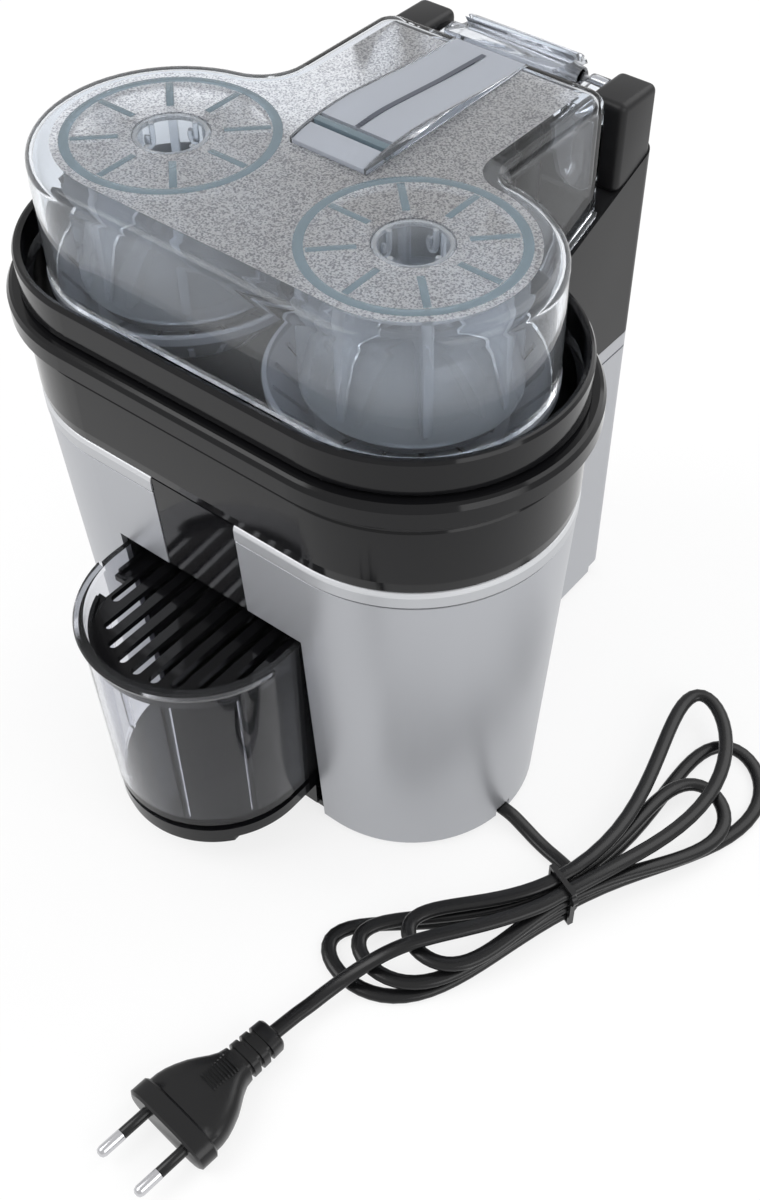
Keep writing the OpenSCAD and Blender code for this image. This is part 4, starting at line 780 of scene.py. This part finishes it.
def makePressCup(values, axis, label):
    low, r, tube, wall = values["low"], values["radius"], values["tube"], values["tubeWall"]
    dome = [(r + x, low + z) for x, z in values["domeOuter"]]
    dome += [(tube + x, low + z) for x, z in values["crownOuter"]]
    rim = [(tube, lidTop - 0.4), (tube - 0.5, lidTop), (tube - wall, lidTop - 0.3)]
    inner = [(tube + x, low + z) for x, z in values["crownInner"]]
    inner += [(r + x, low + z) for x, z in values["domeInner"]]
    bm = bmesh.new()
    revolve(bm, dome + rim + inner, axis, values["steps"])
    cup = linkPiece("pressCup" + label, finishMesh(bm, "pressCup" + label, 40), "lid_body", [clearPress])
    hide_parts(label.lower() + "_press_cup")


def makePressRing(values, axis, label):
    inside, outside, deep = values["ring"]
    high = lidTop + values["proud"]
    bm = bmesh.new()
    revolve(bm, [(inside, high - deep), (outside, high - deep), (outside, high), (inside, high)], axis,
            values["steps"])
    softenEdges(bm, values["bevel"])
    mesh = finishMesh(bm, "pressRing" + label)
    bandOnTop(mesh, (high - values["band"]) / 1000)
    ring = linkPiece("pressRing" + label, mesh, "lid_body", [clearPress, pressBand])
    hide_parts(label.lower() + "_press_fins")


def makePressFins(values, axis, label):
    # one fin along the dome, then its copies round the tube
    low, gap, start = values["low"], values["finGap"], values["finIn"]
    inside, outside, deep = values["ring"]
    high, end, thick = lidTop + values["proud"], inside - 0.05, values["finThick"] / 1000
    along = [(values["radius"] + x + gap, low + z + gap) for x, z in reversed(values["domeOuter"][2:])]
    outline = [(start, low + 26.7)] + along + [(outside - 0.1, low + 3.4)]
    outline += [(outside - 0.1, high - deep - 0.05), (end, high - deep - 0.05), (end, high), (start, high)]
    bm = bmesh.new()
    drawFace(bm, [axis + Vector((x / 1000, -thick / 2, z / 1000)) for x, z in outline], (0, thick, 0))
    softenEdges(bm, values["bevel"])
    fin = bm.verts[:] + bm.edges[:] + bm.faces[:]
    for i in range(1, values["fins"]):
        copy = bmesh.ops.duplicate(bm, geom=fin)["geom"]
        bmesh.ops.rotate(bm, verts=[v for v in copy if isinstance(v, bmesh.types.BMVert)], cent=axis,
                         matrix=Matrix.Rotation(2 * pi * i / values["fins"], 3, "Z"))
    mesh = finishMesh(bm, "pressFins" + label)
    bandOnTop(mesh, (high - values["band"]) / 1000)
    linkPiece("pressFins" + label, mesh, "lid_body", [clearPress, pressBand])


def makeHooks(values, axis, label):
    # J shaped catches on the inside of the tube
    bm = bmesh.new()
    for turn in values["hooks"]:
        route = []
        for lean, z in values["hookBend"]:
            a = radians(turn + lean)
            x, y = values["hookRadius"] * cos(a), values["hookRadius"] * sin(a)
            route.append(axis + Vector((x, y, lidTop - 0.3 + z)) / 1000)
        tubeAlong(bm, smoothRoute(route, 4), values["hookWire"] / 1000)
    linkPiece("pressHooks" + label, finishMesh(bm, "pressHooks" + label, 60), "lid_body", [clearPress])


for side, label in sideNames.items():
    for makePart in (makePressCup, makePressRing, makePressFins, makeHooks):
        makePart(pressSet, mm(side * coneX, 0, 0), label)
print("press cups made")


# the start switch's spring: a real coil
springSet = {"turns": 5, "wire": 0.6, "travel": 3, "steps": 90}


def makeSpring(values):
    low, high = [Vector(corner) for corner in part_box("plunger_spring")]
    middle, half = (low + high) / 2, values["wire"] / 2000
    tall = high.z - low.z
    radius, length = (high.x - low.x) / 2 - half, tall - 2 * half
    route = []
    for i in range(values["steps"] + 1):
        share = i / values["steps"]
        a = 2 * pi * values["turns"] * share
        route.append(Vector((middle.x + radius * cos(a), middle.y + radius * sin(a),
                             low.z + half + length * share)))
    bm = bmesh.new()
    tubeAlong(bm, route, half)
    spring = linkPiece("plungerCoil", finishMesh(bm, "plungerCoil", 60), "machine", [zincPlate])
    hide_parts("plunger_spring")
    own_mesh(spring)


makeSpring(springSet)
print("spring made")


# a lamp is its name, place, target, size and power, in metres and watts
studio = {
    "world": 0.75, "floorGlow": 0.78, "floorHalf": 6, "floorColour": (0.9, 0.9, 0.9), "floorRoughness": 0.9,
    "lamps": [
        ("keyLamp", (-0.9, -0.9, 1.5), (0, 0, 0.12), 1.2, 14),
        ("sideLamp", (1.3, -0.2, 0.9), (0, 0, 0.12), 1.0, 7),
        ("backLamp", (0.3, 1.2, 1.3), (0, 0, 0.12), 1.2, 8),
    ],
}


def paleWorld(values):
    world = bpy.data.worlds.new("paleWorld")
    bpy.context.scene.world = world
    world.use_nodes = True
    tree = world.node_tree
    back = tree.nodes["Background"]
    back.inputs["Color"].default_value = (1, 1, 1, 1)
    path = tree.nodes.new("ShaderNodeLightPath")
    seen = tree.nodes.new("ShaderNodeMix")
    seen.inputs["A"].default_value = values["world"]
    seen.inputs["B"].default_value = 1.0
    tree.links.new(path.outputs["Is Camera Ray"], seen.inputs["Factor"])
    tree.links.new(seen.outputs["Result"], back.inputs["Strength"])


def paleFloor(values):
    # it glows a little for what is seen directly, mirrored or through clear pieces
    bm = bmesh.new()
    bmesh.ops.create_grid(bm, x_segments=1, y_segments=1, size=values["floorHalf"])
    mesh = toMesh(bm, "floor")
    floor = bpy.data.objects.new("floor", mesh)
    bpy.context.scene.collection.objects.link(floor)
    material = bpy.data.materials.new("paleFloor")
    material.use_nodes = True
    tree = material.node_tree
    shader = tree.nodes["Principled BSDF"]
    shader.inputs["Base Color"].default_value = (*values["floorColour"], 1)
    shader.inputs["Roughness"].default_value = values["floorRoughness"]
    shader.inputs["Specular IOR Level"].default_value = 0
    path = tree.nodes.new("ShaderNodeLightPath").outputs
    seen = mathNode(tree, "MAXIMUM", path["Is Camera Ray"], path["Is Glossy Ray"])
    seen = mathNode(tree, "MAXIMUM", seen, path["Is Transmission Ray"])
    mix = tree.nodes.new("ShaderNodeMixShader")
    tree.links.new(mathNode(tree, "MULTIPLY", seen, values["floorGlow"]), mix.inputs[0])
    tree.links.new(shader.outputs[0], mix.inputs[1])
    tree.links.new(tree.nodes.new("ShaderNodeEmission").outputs[0], mix.inputs[2])
    tree.links.new(mix.outputs[0], tree.nodes["Material Output"].inputs["Surface"])
    mesh.materials.append(material)


def makeLamp(name, place, target, size, power):
    data = bpy.data.lights.new(name, "AREA")
    data.size = size
    data.energy = power
    lamp = bpy.data.objects.new(name, data)
    bpy.context.scene.collection.objects.link(lamp)
    lamp.location = place
    lamp.rotation_euler = (Vector(target) - Vector(place)).to_track_quat("-Z", "Y").to_euler()


paleWorld(studio)
paleFloor(studio)
for lampValues in studio["lamps"]:
    makeLamp(*lampValues)
bpy.context.scene.view_settings.view_transform = "Standard"
print("floor and lamps made")
